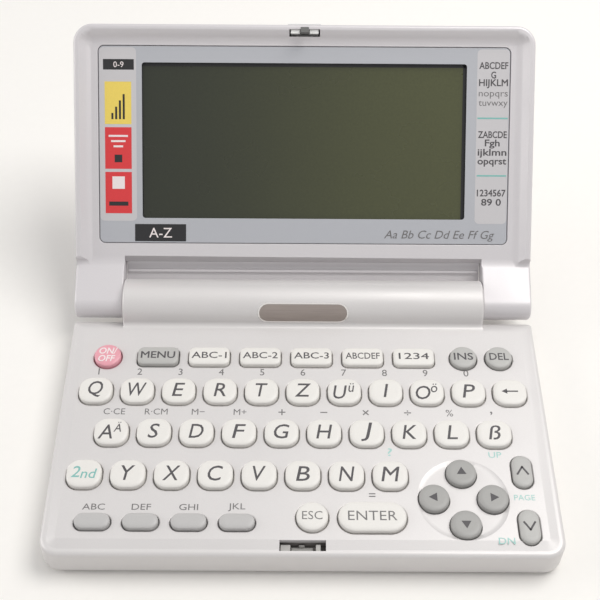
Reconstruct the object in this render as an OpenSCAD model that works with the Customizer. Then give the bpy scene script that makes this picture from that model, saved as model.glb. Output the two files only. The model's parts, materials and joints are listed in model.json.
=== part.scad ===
// Pocket electronic dictionary with a hinged lid, drawn open.
// X runs to the right, Y from the front edge to the hinge, Z up.

/* [Base] */
// Height of the closed base shell without its feet
base_h = 9.9; // [9.4:0.1:11]
// Height of the foot pads
foot_h = 0.6; // [0.4:0.1:1]
// Wall thickness of the two base shells
shell_t = 1.3; // [1:0.1:1.5]
// Corner radius of the base in plan
corner_r = 5.2; // [4.6:0.1:6]
// Height of the parting line above the underside of the shell
parting_h = 4.8; // [4.4:0.1:5.2]
// Width of the sloped border round the deck
border_w = 4.2; // [3:0.1:4.4]
// Depth of the border below the deck
border_drop = 0.85; // [0.6:0.05:1]
// Radius of the rounded bottom edge
foot_round = 1.5; // [0.8:0.1:2]
// Radius of the front foot pads
pad_r = 3.6; // [3:0.1:4.2]
// Distance of a front foot pad from the side of the base
pad_side = 11; // [10:0.5:14]
// Distance of the front foot pads from the front edge
pad_front = 9; // [8:0.5:12]
// Width of the rear foot pads
rear_pad_w = 4.6; // [4:0.1:4.8]
// Length of the rear foot pads
rear_pad_l = 8.4; // [7:0.1:9]
// Length of the shoulders beside the hinge barrel
shoulder_l = 4.4; // [3.6:0.1:4.6]
// Corner radius of the shoulders in plan
shoulder_r = 2.2; // [1.6:0.1:3]
// Gap between a shoulder and the arm of the closed lid
shoulder_gap = 0.3; // [0.2:0.05:0.5]

/* [Hinge] */
// Distance from the keyboard section back to the hinge axis, which is the room of the lid's knuckles
hinge_notch = 9; // [8.6:0.1:9.8]
// Height of the hinge axis above the deck
hinge_up = 0.2; // [0:0.1:0.5]
// Wall thickness of the hinge barrel
barrel_wall = 1.8; // [1.4:0.1:1.9]
// Thickness of each barrel end wall, which is the bearing of a hinge pin
bearing_t = 4.4; // [4.2:0.1:5]
// Radius of the fillet where the deck meets the barrel
barrel_fillet = 1.5; // [1:0.1:2]
// Radius of the hinge pins
pin_r = 2; // [1.5:0.1:2.4]
// Radial play of the pins in their bores
pin_play = 0.05; // [0.02:0.01:0.09]
// Length of the hinge pins inside the barrel
pin_l = 3.6; // [3:0.1:3.8]
// Gap behind the end of a hinge pin in its bore
pin_end_gap = 0.4; // [0.3:0.05:0.5]
// Radius of the lid knuckles
knuckle_r = 4; // [3.6:0.1:4.4]
// Sideways gap between a lid arm and the barrel
arm_gap = 0.3; // [0.2:0.05:0.5]

/* [Lid] */
// Inset of the lid's outline from the base's
lid_inset = 0.1; // [0:0.05:0.3]
// Distance from the hinge axis to the lower edge of the display bezel
lid_start = 12.4; // [12:0.1:13]
// Height of the lid rim in front of the hinge axis
rim_n = 0.9; // [0.7:0.05:0.95]
// Depth of the bezel below the rim
bezel_drop = 2.4; // [2.2:0.05:2.6]
// Radius of the rounded outer edge of the rim
rim_round = 0.9; // [0.6:0.05:1]
// Width of the rim with its rounded edge
rim_w = 1.6; // [1.3:0.1:2]
// Width of the whole border from the side of the lid to the bezel
rim_slope_w = 4.2; // [3:0.1:4.4]
// Total thickness of the lid
lid_t = 7.8; // [7.6:0.1:8.4]
// Wall thickness of the lid shells
lid_wall = 1.3; // [1:0.1:1.4]
// Thickness of the bezel plate
bezel_t = 1.6; // [1.4:0.1:1.7]
// Corner radius of the lid in plan
lid_corner_r = 5.5; // [4.8:0.1:6]
// Depth of the parting line behind the hinge axis
lid_parting = 4.2; // [4:0.1:4.4]
// Radius of the rounded back edge
cover_round = 1.9; // [1:0.1:2.2]
// Distance from the hinge axis to the lower lip of the back cover
lip_start = 6; // [5.8:0.1:7]
// Step of the back cover behind the bezel's lower edge
lip_step = 0.8; // [0.5:0.1:1.2]
// Angle of the open lid above the table
lid_tilt = 45.5; // [40:0.5:60]

/* [Display] */
// Distance from the side of the lid to the display window panel
panel_side = 6.9; // [5.5:0.1:10]
// Distance from the hinge axis to the lower edge of the panel
panel_start = 18; // [17:0.1:19]
// Distance from the free edge of the lid to the panel
panel_end = 6; // [5.6:0.1:8]
// Thickness of the display window panel
panel_t = 1; // [0.8:0.05:1.1]
// Depth of the panel face below the bezel
panel_sink = 0.1; // [0.05:0.05:0.2]
// Corner radius of the display window panel
panel_r = 1.6; // [1:0.1:2]
// Gap round the panel in its recess
panel_gap = 0.2; // [0.1:0.05:0.3]
// Width of the ledge that the panel sits on
panel_ledge = 1.5; // [1:0.1:2]
// Distance from the side of the panel to the LCD glass
lcd_side = 9; // [7:0.5:12]
// Distance from the lower edge of the panel to the LCD glass
lcd_low = 3.7; // [3:0.1:5]
// Distance from the upper edge of the panel to the LCD glass
lcd_high = 2; // [1.6:0.1:4]
// Thickness of the LCD glass
lcd_t = 1.7; // [1.4:0.1:1.8]
// Gap between the LCD glass and the panel
lcd_gap = 0.15; // [0.1:0.05:0.2]
// Thickness of the driver board behind the LCD
driver_t = 0.8; // [0.6:0.1:0.9]
// Width of the driver board beyond the glass at each side
driver_side = 2; // [1:0.5:3]
// Height of the driver board beyond the glass at each end
driver_end = 1; // [0.5:0.1:1.4]

/* [Keys] */
// Distance from one letter key to the next
key_pitch = 11.4; // [11:0.1:12]
// Space between two letter keys
key_space = 2.3; // [1.6:0.1:2.8]
// Distance from the outer letter keys to the side of the base
key_side = 4.95; // [4.4:0.05:8]
// Depth of a letter key
key_d = 8.3; // [7.6:0.1:8.8]
// Corner radius of a letter key
key_r = 3.4; // [2.5:0.1:3.7]
// Distance from the front edge to the row of the enter key
front_row = 10.35; // [9.6:0.05:12]
// Distance from that row to the third row of letters
row3_step = 12.25; // [11.8:0.05:13]
// Distance from the third row of letters to the second
row2_step = 13.1; // [12:0.1:14]
// Distance from the second row of letters to the first
row1_step = 13.6; // [12:0.1:14.4]
// Distance from the first row of letters to the function keys
row0_step = 12; // [10:0.1:13]
// Distance from the function keys to the rear edge of the keyboard section
row0_back = 10.5; // [9.8:0.1:12]
// Space between two function keys
func_space = 3; // [2.2:0.1:3.4]
// Depth of a function key
func_d = 6; // [5.4:0.1:6.6]
// Corner radius of a function key
func_r = 1.7; // [1.2:0.1:2.2]
// Space between two soft keys
soft_space = 3.13; // [2:0.01:3.4]
// Depth of a soft key
soft_d = 4.4; // [4:0.1:4.8]
// Width of the enter key
enter_w = 17.4; // [16:0.1:18.4]
// Depth of the enter key
enter_d = 8.4; // [7.8:0.1:8.8]
// Width of a page key
page_w = 5.2; // [5:0.1:5.8]
// Depth of a page key
page_d = 9.5; // [8.6:0.1:9.8]
// Drop of the page keys below the other keys, which keeps them clear of the closed lid's rim
page_drop = 0.4; // [0.4:0.05:0.6]
// Radius of the power key
power_r = 3.75; // [3.5:0.05:4.2]
// Radius of the two round function keys
round_r = 3.7; // [3.4:0.1:4]
// Radius of the escape key
escape_r = 4.05; // [3.8:0.05:4.4]
// Radius of a cursor key
cursor_r = 3.95; // [3.8:0.05:4.2]
// Distance from the centre of the cursor dish to a cursor key
cursor_reach = 7.6; // [7.2:0.1:7.8]
// Radius of the cursor dish
dish_r = 11.9; // [11.4:0.1:12]
// Depth of the cursor dish
dish_depth = 0.5; // [0.3:0.05:0.6]
// Height of the keys above the deck
key_rise = 1.4; // [0.9:0.05:1.45]
// Travel of a key
key_travel = 0.7; // [0.5:0.05:0.7]
// Gap round a key in its hole
key_gap = 0.3; // [0.15:0.05:0.3]
// Width of the flange that holds a key in
flange_w = 0.65; // [0.5:0.05:0.7]
// Thickness of the flange
flange_t = 0.7; // [0.6:0.05:0.8]
// Gap between the flange and the deck
flange_gap = 0.15; // [0.1:0.05:0.2]
// Thickness of the keyboard deck
deck_t = 1.3; // [1.1:0.1:1.4]

/* [Inside] */
// Thickness of the circuit board
board_t = 1; // [0.8:0.1:1.2]
// Distance of the board and the mat from the side of the base
board_side = 3; // [2.6:0.1:3.4]
// Distance of the board from the front edge
board_front = 2.8; // [2.4:0.1:3.4]
// Distance of the board and the mat from the rear edge of the keyboard section
board_rear = 6.8; // [6.3:0.1:7.2]
// Distance of the mat from the front edge
mat_front = 5; // [4.6:0.1:5.2]
// Height of the board's underside above the underside of the shell
board_z = 4.5; // [4.3:0.1:4.7]
// Thickness of the rubber key mat
mat_t = 0.6; // [0.4:0.1:0.7]
// Radius of a rubber dome
dome_r = 2; // [1.5:0.1:2.1]
// Length of an AAA cell
cell_l = 44.5; // [44.3:0.1:44.5]
// Radius of an AAA cell
cell_r = 5.25; // [5.1:0.05:5.25]
// Gap round a cell in its bay
cell_gap = 0.35; // [0.3:0.05:0.6]
// Room for the contact and spring at each end of the bay
contact_room = 3.1; // [2.6:0.1:4]
// Radius of the cap at the positive end of a cell
cap_r = 1.9; // [1.7:0.1:2]
// Length of that cap
cap_l = 0.8; // [0.6:0.1:1]
// Radius of the screw bosses
boss_r = 2; // [1.8:0.1:2.1]
// Radius of the screw holes
screw_r = 1; // [0.8:0.05:1.1]
// Radius of the sunk screw heads
head_r = 1.6; // [1.4:0.1:1.6]
// Depth of the sunk screw heads
head_h = 0.8; // [0.6:0.1:1]

/* [Battery door] */
// Width of the battery door
door_w = 91; // [90:0.5:92]
// Gap round the battery door
door_gap = 0.2; // [0.15:0.05:0.3]
// Distance from the hinge axis forward to the front edge of the door
door_front = 9.2; // [9:0.1:9.6]
// Radius of the rear bottom corner of the base
rear_r = 5; // [4:0.1:5.4]
// Width of the tongues that guide the door
tongue_w = 1; // [0.8:0.1:1.2]
// Thickness of the tongues
tongue_t = 0.6; // [0.5:0.05:0.8]
// Height of the tongues above the underside of the shell
tongue_up = 0.8; // [0.6:0.1:1]
// Gap round a tongue in its groove
tongue_gap = 0.1; // [0.08:0.01:0.15]

/* [Latch] */
// Width of the latch
latch_w = 8.2; // [7:0.1:9]
// Width of the hook
hook_w = 2.4; // [2:0.1:3]
// Reach of the hook in front of the hinge axis
hook_n = 3; // [2.8:0.05:3.1]
// Thickness of the hook's stem
hook_t = 1; // [0.8:0.1:1.2]
// Length of the hook's nose
nose_l = 0.5; // [0.4:0.05:0.6]
// Height of the hook's nose
nose_h = 0.8; // [0.6:0.05:0.9]
// Travel of the latch
latch_travel = 0.7; // [0.6:0.05:0.7]
// Gap round the latch
latch_gap = 0.15; // [0.1:0.05:0.2]
// Width of the push tab
tab_w = 9.6; // [8.6:0.1:11]
// Thickness of the push tab
tab_t = 0.5; // [0.4:0.05:0.6]
// Width of the catch slot in the deck
catch_w = 11.7; // [11:0.1:13]
// Length of the catch slot in the deck
catch_l = 2.6; // [2.4:0.1:3]

/* [Hidden] */
$fn = 48;
skin = 0.02;
// Overall sizes: the keyboard section holds its key rows, and the barrel holds two cells end to end
key_w = key_pitch - key_space;
base_w = 10 * key_pitch + key_w + 2 * key_side;
row3_y = front_row + row3_step;
row2_y = row3_y + row2_step;
row1_y = row2_y + row1_step;
row0_y = row1_y + row0_step;
base_d = row0_y + row0_back;
hinge_back = base_d + hinge_notch;
barrel_r = cell_r + cell_gap + barrel_wall;
barrel_l = 2 * (cell_l + contact_room + bearing_t);
lid_w = base_w - 2 * lid_inset;
lid_l = hinge_back - lid_inset;
panel_w = lid_w - 2 * panel_side;
panel_l = lid_l - panel_end - panel_start;
lcd_w = panel_w - 2 * lcd_side;
lcd_l = panel_l - lcd_low - lcd_high;
lcd_mid = panel_start + lcd_low + lcd_l / 2;
// Heights of the main levels above the table
shell_z = foot_h;
floor_z = shell_z + shell_t;
parting_z = shell_z + parting_h;
deck_z = shell_z + base_h;
deck_under = deck_z - deck_t;
axis_z = deck_z + hinge_up;
board_bottom = shell_z + board_z;
mat_z = board_bottom + board_t;
mat_top = mat_z + mat_t;
flange_z = deck_under - flange_gap - flange_t;
// Levels of the lid, counted from the hinge axis towards the display
bezel_n = rim_n - bezel_drop;
back_n = rim_n - lid_t;
lid_floor_n = back_n + lid_wall;
bezel_back_n = bezel_n - bezel_t;
panel_n = bezel_n - panel_sink;
panel_back_n = panel_n - panel_t;
lcd_back_n = panel_back_n - lcd_gap - lcd_t;
// Reach of the open lid behind the hinge axis, and the origin below the middle of the whole
lid_reach = cos(lid_tilt) * (lid_l - cover_round) - sin(lid_tilt) * (back_n + cover_round) + cover_round;
front_y = -(hinge_back + lid_reach) / 2;
// Places along the barrel
barrel_half = barrel_l / 2;
bay_half = barrel_half - bearing_t;
board_back = base_d - board_rear;
arm_in = barrel_half + arm_gap;
strip_in = door_w / 2 + door_gap;
// Rear end of the shoulders, and where their top starts to slope down under the arms of the closed lid
shoulder_back = base_d + shoulder_l;
arm_touch = touch([lid_start, bezel_n], 1);
arm_slope = (arm_touch[1] - bezel_n) / (lid_start - arm_touch[0]);
shoulder_crest = hinge_back - lid_start + (hinge_up - bezel_n - shoulder_gap) / arm_slope;
shoulder_round = 0.7;
function shoulder_z(y) = deck_z - (y - shoulder_crest) * arm_slope;
// Levels and edges of the latch, its slot and its push tab
shoulder_in = hook_w / 2 + 0.6;
slot_half = latch_w / 2 + latch_gap * 2;
hook_q = lid_l - lid_wall - latch_gap - hook_t;
slot_low = hook_q - latch_travel - 2 * latch_gap;
heel_l = 2.6;
neck_half = 2.6;
neck_low = -3.4;
neck_high = -2.2;
tab_low = neck_low - 0.3;
tab_high = -0.6;
// Top of the battery door below the hinge axis, its grooves, and the levels of the catch
door_top = 1.2;
tongue_z = shell_z + tongue_up;
catch_gap = 0.1;
catch_y = hinge_back - hook_q - hook_t - catch_gap;
lip_under = axis_z - hook_n + nose_h + catch_gap;
catch_bottom = parting_z + 1;
// Places of the keys along their rows, from the outer letter keys inwards
row1_x = -5 * key_pitch;
row2_x = -4.5 * key_pitch;
power_x = row1_x + 2;
round_step = 10;
round_x = -row1_x - 1.8 - round_step;
func_x = power_x + 14.2;
func_pitch = (round_x - 14 - func_x) / 5;
func_w = func_pitch - func_space;
page_x = 0.4 - row1_x;
page_step = 8.1;
dish_x = page_x - 16;
dish_y = front_row + 5.65;
enter_x = dish_x - 23.7;
escape_x = enter_x - 15.3;
soft_x = row1_x + 3.6;
soft_y = front_row - 1.55;
soft_pitch = (escape_x - 19.11 - soft_x) / 3;
soft_w = soft_pitch - soft_space;
// Places of the screws and of the posts under the board
SCREWS = [[-1, 3.8], [1, 3.8], [-1, base_d - 4.4], [1, base_d - 4.4]];
screw_in = 3.6;
POSTS = [[-40, 18], [40, 18], [-40, 52], [40, 52], [0, 8], [0, 52]];
post_r = 1.5;
boss_gap = 0.4;
// Middle of the rear foot pads, whose ends lie a little behind the hinge axis
rear_pad_y = hinge_back + 1.8 - rear_pad_l / 2;
// Chips under the board: left, front, right and rear edge, and height
CHIPS = [[-26, 28, -12, 42, 1.3], [10, 34, 24, 43, 1.1], [8, 20, 26, 28, 1.1], [-8, 30, -2, 35, 1]];
buzzer = [-52, 34];
buzzer_r = 7;
buzzer_h = 2;
// Battery contacts: plates at the ends of the bay, a stud for the cap and a spring for the flat end
cell_play = 0.05;
contact_r = 4;
contact_t = 0.4;
contact_gap = 0.3;
stud_r = 1.8;
spring_r = 2.8;
contact_reach = bay_half - contact_gap - contact_t - cell_l - contact_gap;
// Crown of a key: inset and depth below the top
CROWN = [[0, 0.5], [0.12, 0.22], [0.4, 0.06], [0.9, 0]];
dome_gap = 0.1;

// Each key: name, shape, x, y
ROW1 = ["q", "w", "e", "r", "t", "z", "u", "i", "o", "p", "delete"];
ROW2 = ["a", "s", "d", "f", "g", "h", "j", "k", "l", "sharp_s"];
ROW3 = ["second", "y", "x", "c", "v", "b", "n", "m"];
FUNCS = ["menu", "function_1", "function_2", "function_3", "function_4", "function_5"];
KEYS = concat(
    [["key_power", "power", power_x, row0_y]],
    [for (i = [0 : 5]) [str("key_", FUNCS[i]), "function", func_x + i * func_pitch, row0_y]],
    [for (i = [0 : 1]) [str("key_round_", i + 1), "round", round_x + i * round_step, row0_y]],
    [for (i = [0 : 10]) [str("key_", ROW1[i]), "letter", row1_x + i * key_pitch, row1_y]],
    [for (i = [0 : 9]) [str("key_", ROW2[i]), "letter", row2_x + i * key_pitch, row2_y]],
    [for (i = [0 : 7]) [str("key_", ROW3[i]), "letter", row1_x + i * key_pitch, row3_y]],
    [for (i = [0 : 3]) [str("key_soft_", i + 1), "soft", soft_x + i * soft_pitch, soft_y]],
    [
        ["key_escape", "escape", escape_x, front_row],
        ["key_enter", "enter", enter_x, front_row],
        ["key_up", "cursor", dish_x, dish_y + cursor_reach],
        ["key_down", "cursor", dish_x, dish_y - cursor_reach],
        ["key_left", "cursor", dish_x - cursor_reach, dish_y],
        ["key_right", "cursor", dish_x + cursor_reach, dish_y],
        ["key_page_up", "page", page_x, dish_y + page_step],
        ["key_page_down", "page", page_x, dish_y - page_step]
    ]
);
CASE_NODES = ["bottom_case", "keyboard_case", "battery_door", "batteries", "circuit_board", "key_mat"];
LID_NODES = ["lid_frame", "lid_cover", "display_module", "latch"];

// Frames of the base, the hinge axis and the open lid
module at_base() translate([0, front_y, 0]) children();
module at_hinge() translate([0, front_y + hinge_back, axis_z]) children();
module at_lid() at_hinge() rotate([lid_tilt, 0, 0]) children();

// Draws an outline of the YZ plane and extrudes it along X from x0 to x1
module along_x(x0, x1) translate([x0, 0, 0]) rotate([90, 0, 90]) linear_extrude(x1 - x0) children();
module box(low, high) translate(low) cube(high - low);
module both_sides() {
    children();
    mirror([1, 0, 0]) children();
}

// Points of a quarter round about c, from angle a to angle b
function quarter(c, r, a, b) = [for (i = [0 : 4]) let (t = a + (b - a) * i / 4) c + r * [cos(t), sin(t)]];
function both_edges(edge, span) = concat(edge,
    [for (i = [len(edge) - 1 : -1 : 0]) [span - edge[i][0], edge[i][1]]]);

// A rounded plate from y = 0 to y = d whose edges follow the points of edge: inset and height
module edged_plate(w, d, r, edge) {
    long_x = w - 2 * r > skin;
    long_y = d - 2 * r > skin;
    corner = concat([[0, edge[0][1]]], [for (p = edge) [r - p[0], p[1]]], [[0, edge[len(edge) - 1][1]]]);
    if (long_y) translate([-w / 2, d - r, 0]) rotate([90, 0, 0]) linear_extrude(d - 2 * r)
        polygon(both_edges(edge, w));
    if (long_x) along_x(r - w / 2, w / 2 - r) polygon(both_edges(edge, d));
    if (!long_x && !long_y) translate([0, r, 0]) rotate_extrude() polygon(corner);
    if (long_x || long_y) for (c = [[1, 1, 0], [-1, 1, 90], [-1, -1, 180], [1, -1, 270]])
        translate([c[0] * (w / 2 - r), d / 2 + c[1] * (d / 2 - r), 0]) rotate([0, 0, c[2]])
            rotate_extrude(angle = 90) polygon(corner);
}

// A rounded rectangle, centred; a circle or an oblong where the radius takes up a side
module rounded(w, d, r) {
    long_x = w - 2 * r > skin;
    long_y = d - 2 * r > skin;
    if (long_y) square([w, d - 2 * r], center = true);
    if (long_x) square([w - 2 * r, d], center = true);
    for (x = long_x ? [-1, 1] : [0], y = long_y ? [-1, 1] : [0])
        translate([x * (w / 2 - r), y * (d / 2 - r)]) circle(r);
}

module at_screws(z) for (s = SCREWS) translate([s[0] * (base_w / 2 - screw_in), s[1], z]) children();

// Width, depth and corner radius of a key
function key_size(shape) =
    shape == "letter" ? [key_w, key_d, key_r] :
    shape == "function" ? [func_w, func_d, func_r] :
    shape == "soft" ? [soft_w, soft_d, soft_d / 2] :
    shape == "enter" ? [enter_w, enter_d, enter_d / 2] :
    shape == "page" ? [page_w, page_d, page_w / 2] :
    shape == "power" ? power_r * [2, 2, 1] :
    shape == "round" ? round_r * [2, 2, 1] :
    shape == "escape" ? escape_r * [2, 2, 1] :
    cursor_r * [2, 2, 1];

// The outline of a key, grown by g
module key_outline(shape, g) {
    size = key_size(shape);
    rounded(size[0] + 2 * g, size[1] + 2 * g, size[2] + g);
}

// The profile of the base under and behind the deck, about the hinge axis, in Y and Z
bottom_n = shell_z - axis_z;
parting_n = parting_z - axis_z;
fillet_y = -sqrt(pow(barrel_r + barrel_fillet, 2) - pow(barrel_fillet - hinge_up, 2));
middle_front = border_w + hinge_back - base_d;
module barrel_profile() {
    difference() {
        circle(barrel_r);
        translate([-barrel_r, -2 * barrel_r]) square([2 * barrel_r, 2 * barrel_r + parting_n]);
    }
    translate([0, parting_n]) square([barrel_r, -parting_n]);
    translate([-middle_front, parting_n]) square([middle_front, -hinge_up - parting_n]);
    difference() {
        translate([fillet_y, -hinge_up - skin]) square([-fillet_y - barrel_r / 2, barrel_fillet + skin]);
        translate([fillet_y, barrel_fillet - hinge_up]) circle(barrel_fillet);
        translate([-barrel_r / 2, 0]) square([barrel_r, barrel_r]);
    }
}
module bottom_profile() {
    difference() {
        translate([-middle_front, bottom_n]) square([middle_front + barrel_r, parting_n - bottom_n]);
        translate([barrel_r - rear_r, bottom_n]) square(rear_r);
    }
    intersection() {
        translate([barrel_r - rear_r, bottom_n + rear_r]) circle(rear_r);
        translate([-middle_front, bottom_n]) square([middle_front + barrel_r, parting_n - bottom_n]);
    }
}

// The shoulders at the two sides of the barrel: their profile in Y and Z, their outside and their hollow
module shoulder_profile() {
    low = shoulder_z(shoulder_back - shoulder_round);
    polygon([[base_d - corner_r, 0], [base_d - corner_r, deck_z], [shoulder_crest, deck_z],
        [shoulder_back - shoulder_round, low], [shoulder_back - 0.2 * shoulder_round, low - 0.7 * shoulder_round],
        [shoulder_back, low - 1.6 * shoulder_round], [shoulder_back, shell_z + foot_round],
        [shoulder_back - 0.3 * foot_round, shell_z + 0.3 * foot_round],
        [shoulder_back - foot_round, shell_z], [shoulder_back - foot_round, 0]]);
}
module shoulders(edge) intersection() {
    translate([-base_w / 2, shoulder_back, 0]) rotate([90, 0, 0]) linear_extrude(shoulder_l + corner_r)
        polygon(both_edges(edge, base_w));
    along_x(-base_w / 2, base_w / 2) shoulder_profile();
    translate([0, shoulder_back / 2, 0]) linear_extrude(deck_z + 1) rounded(base_w, shoulder_back, shoulder_r);
}
module shoulder_hollow(low, high) both_sides() along_x(barrel_half + shell_t, base_w / 2 - shell_t) polygon([
    [base_d - shell_t - skin, low], [base_d - shell_t - skin, high], [base_d, high],
    [shoulder_back - shell_t, min(high, shoulder_z(shoulder_back - shell_t) - 1.2 * shell_t)],
    [shoulder_back - shell_t, low]]);

module keyboard_case() color("silver") at_base() {
    edge = concat([[0, parting_z]], quarter([shell_t, deck_z - border_drop - shell_t], shell_t, 180, 90),
        [[shell_t + 0.5, deck_z - border_drop], [border_w, deck_z]]);
    bore_r = barrel_r - barrel_wall;
    difference() {
        union() {
            difference() {
                union() {
                    edged_plate(base_w, base_d, corner_r, edge);
                    shoulders(edge);
                }
                translate([0, base_d / 2, parting_z - 1]) linear_extrude(deck_under - parting_z + 1)
                    rounded(base_w - 2 * shell_t, base_d - 2 * shell_t, corner_r - shell_t);
                shoulder_hollow(parting_z - 1, deck_under);
            }
            translate([0, hinge_back, axis_z]) along_x(-barrel_half, barrel_half) barrel_profile();
            at_screws(parting_z) cylinder(r = boss_r, h = deck_under + skin - parting_z);
        }
        // Battery bay, its open rear and the space between the bay and the keyboard
        translate([0, hinge_back, axis_z]) along_x(-bay_half, bay_half) {
            circle(bore_r);
            translate([0, parting_n - 1]) square([bore_r, 1 - parting_n]);
            difference() {
                translate([-middle_front - 1, parting_n - 1])
                    square([middle_front + 1, 1 - parting_n - hinge_up - deck_t]);
                circle(barrel_r);
            }
        }
        translate([0, hinge_back, axis_z]) along_x(-strip_in, strip_in)
            translate([0, parting_n - 1]) square([barrel_r + 1, 1 - parting_n - door_top]);
        // Bores of the hinge pins
        both_sides() translate([barrel_half - pin_l - pin_end_gap, hinge_back, axis_z]) rotate([0, 90, 0])
            cylinder(r = pin_r + pin_play, h = bearing_t);
        // Holes of the keys
        for (k = KEYS) translate([k[2], k[3], deck_under - 1]) linear_extrude(deck_t + 2)
            key_outline(k[1], key_gap);
        // Cursor dish, catch slot and the pocket under its front lip
        translate([dish_x, dish_y, deck_z - dish_depth])
            cylinder(r1 = dish_r - 3 * dish_depth, r2 = dish_r, h = dish_depth);
        box([-catch_w / 2, catch_y, deck_under - 1], [catch_w / 2, catch_y + catch_l, deck_z + 1]);
        box([-catch_w / 2, catch_y - nose_l - 2 * catch_gap, catch_bottom],
            [catch_w / 2, catch_y + 1, lip_under]);
        at_screws(parting_z - 1) cylinder(r = screw_r * 0.8, h = 4);
    }
}

module bottom_case() color("gainsboro") at_base() {
    edge = concat(quarter([foot_round, shell_z + foot_round], foot_round, 270, 180), [[0, parting_z]]);
    door_y = hinge_back - door_front - door_gap;
    difference() {
        union() {
            difference() {
                union() {
                    edged_plate(base_w, base_d, corner_r, edge);
                    shoulders(edge);
                }
                translate([0, base_d / 2, floor_z]) linear_extrude(parting_h)
                    rounded(base_w - 2 * shell_t, base_d - 2 * shell_t, corner_r - shell_t);
                shoulder_hollow(floor_z, parting_z + 1);
            }
            translate([0, hinge_back, axis_z]) along_x(-barrel_half, barrel_half) bottom_profile();
            at_screws(floor_z - skin) cylinder(r = boss_r, h = parting_z - floor_z + skin);
            for (p = POSTS) translate([p[0], p[1], floor_z - skin])
                cylinder(r = post_r, h = board_bottom - floor_z + skin);
            for (x = [-1, 1]) translate([x * (base_w / 2 - pad_side), pad_front, 0])
                cylinder(r = pad_r, h = foot_h + skin);
            for (x = [-1, 1]) translate([x * (strip_in + barrel_half) / 2, rear_pad_y, foot_h / 2])
                cube([rear_pad_w, rear_pad_l, foot_h + skin], center = true);
        }
        // Space in front of the battery bay, and the bay with its opening for the door
        box([-bay_half, hinge_back - middle_front - 2, floor_z],
            [bay_half, hinge_back - door_front - 1.5, parting_z + 1]);
        box([-strip_in, door_y, -1], [strip_in, hinge_back + barrel_r + 1, parting_z + 1]);
        translate([0, hinge_back, axis_z]) along_x(-bay_half, bay_half) circle(barrel_r - barrel_wall);
        // Grooves for the door's tongues
        box([-strip_in - tongue_w, door_y, tongue_z - tongue_gap],
            [strip_in + tongue_w, hinge_back + barrel_r + 1, tongue_z + tongue_t + tongue_gap]);
        at_screws(-1) {
            cylinder(r = screw_r, h = parting_z + 2);
            cylinder(r = head_r, h = shell_z + head_h + 1);
        }
    }
}

module battery_door() color("gainsboro") at_base() translate([0, hinge_back, axis_z]) {
    tongue_n = tongue_z - axis_z;
    along_x(-door_w / 2, door_w / 2) difference() {
        union() {
            difference() {
                translate([-door_front, bottom_n])
                    square([door_front + barrel_r, -bottom_n - door_top - door_gap]);
                translate([barrel_r - rear_r, bottom_n]) square(rear_r);
            }
            translate([barrel_r - rear_r, bottom_n + rear_r]) circle(rear_r);
        }
        difference() {
            translate([-door_front - 1, bottom_n + shell_t])
                square([door_front + 1 + barrel_r - shell_t, -bottom_n]);
            translate([barrel_r - rear_r, bottom_n + shell_t]) square(rear_r - shell_t);
        }
        translate([barrel_r - rear_r, bottom_n + rear_r]) circle(rear_r - shell_t);
    }
    both_sides() box([door_w / 2 - skin, -door_front, tongue_n],
        [door_w / 2 + tongue_w - door_gap / 2, 0, tongue_n + tongue_t]);
}

module batteries() color("dimgray") at_hinge()
    for (x = [-cell_l - cell_play, cell_play]) translate([x, 0, 0]) rotate([0, 90, 0]) {
        cylinder(r = cell_r, h = cell_l - cap_l);
        cylinder(r = cap_r, h = cell_l);
    }

// Outline of the board and the mat from y to their rear edge, with room for the screw bosses
module board_plate(y, low, high) difference() {
    box([board_side - base_w / 2, y, low], [base_w / 2 - board_side, board_back, high]);
    at_screws(low - 1) cylinder(r = boss_r + boss_gap, h = high - low + 2);
}

module circuit_board() color("green") at_base() {
    board_plate(board_front, board_bottom, mat_z);
    for (c = CHIPS) box([c[0], c[1], board_bottom - c[4]], [c[2], c[3], board_bottom + skin]);
    translate([buzzer[0], buzzer[1], board_bottom - buzzer_h]) cylinder(r = buzzer_r, h = buzzer_h + skin);
    // Battery contacts at the two ends of the bay
    translate([0, hinge_back, axis_z]) rotate([0, 90, 0]) {
        translate([0, 0, bay_half - contact_gap - contact_t]) cylinder(r = contact_r, h = contact_t);
        translate([0, 0, cell_l + contact_gap]) cylinder(r = stud_r, h = contact_reach + skin);
        translate([0, 0, contact_gap - bay_half]) cylinder(r = contact_r, h = contact_t);
        translate([0, 0, contact_gap + contact_t - skin - bay_half])
            cylinder(r = spring_r, h = contact_reach + skin);
    }
}

module key_mat() color("darkseagreen") at_base() {
    board_plate(mat_front, mat_z, mat_top);
    // A dome under each key, a little lower than the pressed key
    for (k = KEYS) translate([k[2], k[3], mat_top - skin])
        cylinder(r = dome_r, h = flange_z - key_travel - dome_gap - mat_top + skin);
}

function key_colour(k) =
    k[1] == "power" ? "palevioletred" :
    k[1] == "round" || k[0] == "key_menu" ? "silver" : "ivory";

// A key: its flange, straight sides and rounded crown, as one profile round its outline
module key(k) {
    top = deck_z + key_rise - (k[1] == "cursor" ? dish_depth / 2 : k[1] == "page" ? page_drop : 0);
    edge = concat([[-flange_w, flange_z], [-flange_w, flange_z + flange_t], [0, flange_z + flange_t]],
        [for (c = CROWN) [c[0], top - c[1]]]);
    size = key_size(k[1]);
    color(key_colour(k)) at_base() translate([k[2], k[3] - size[1] / 2, 0])
        edged_plate(size[0], size[1], size[2], edge);
}

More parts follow.
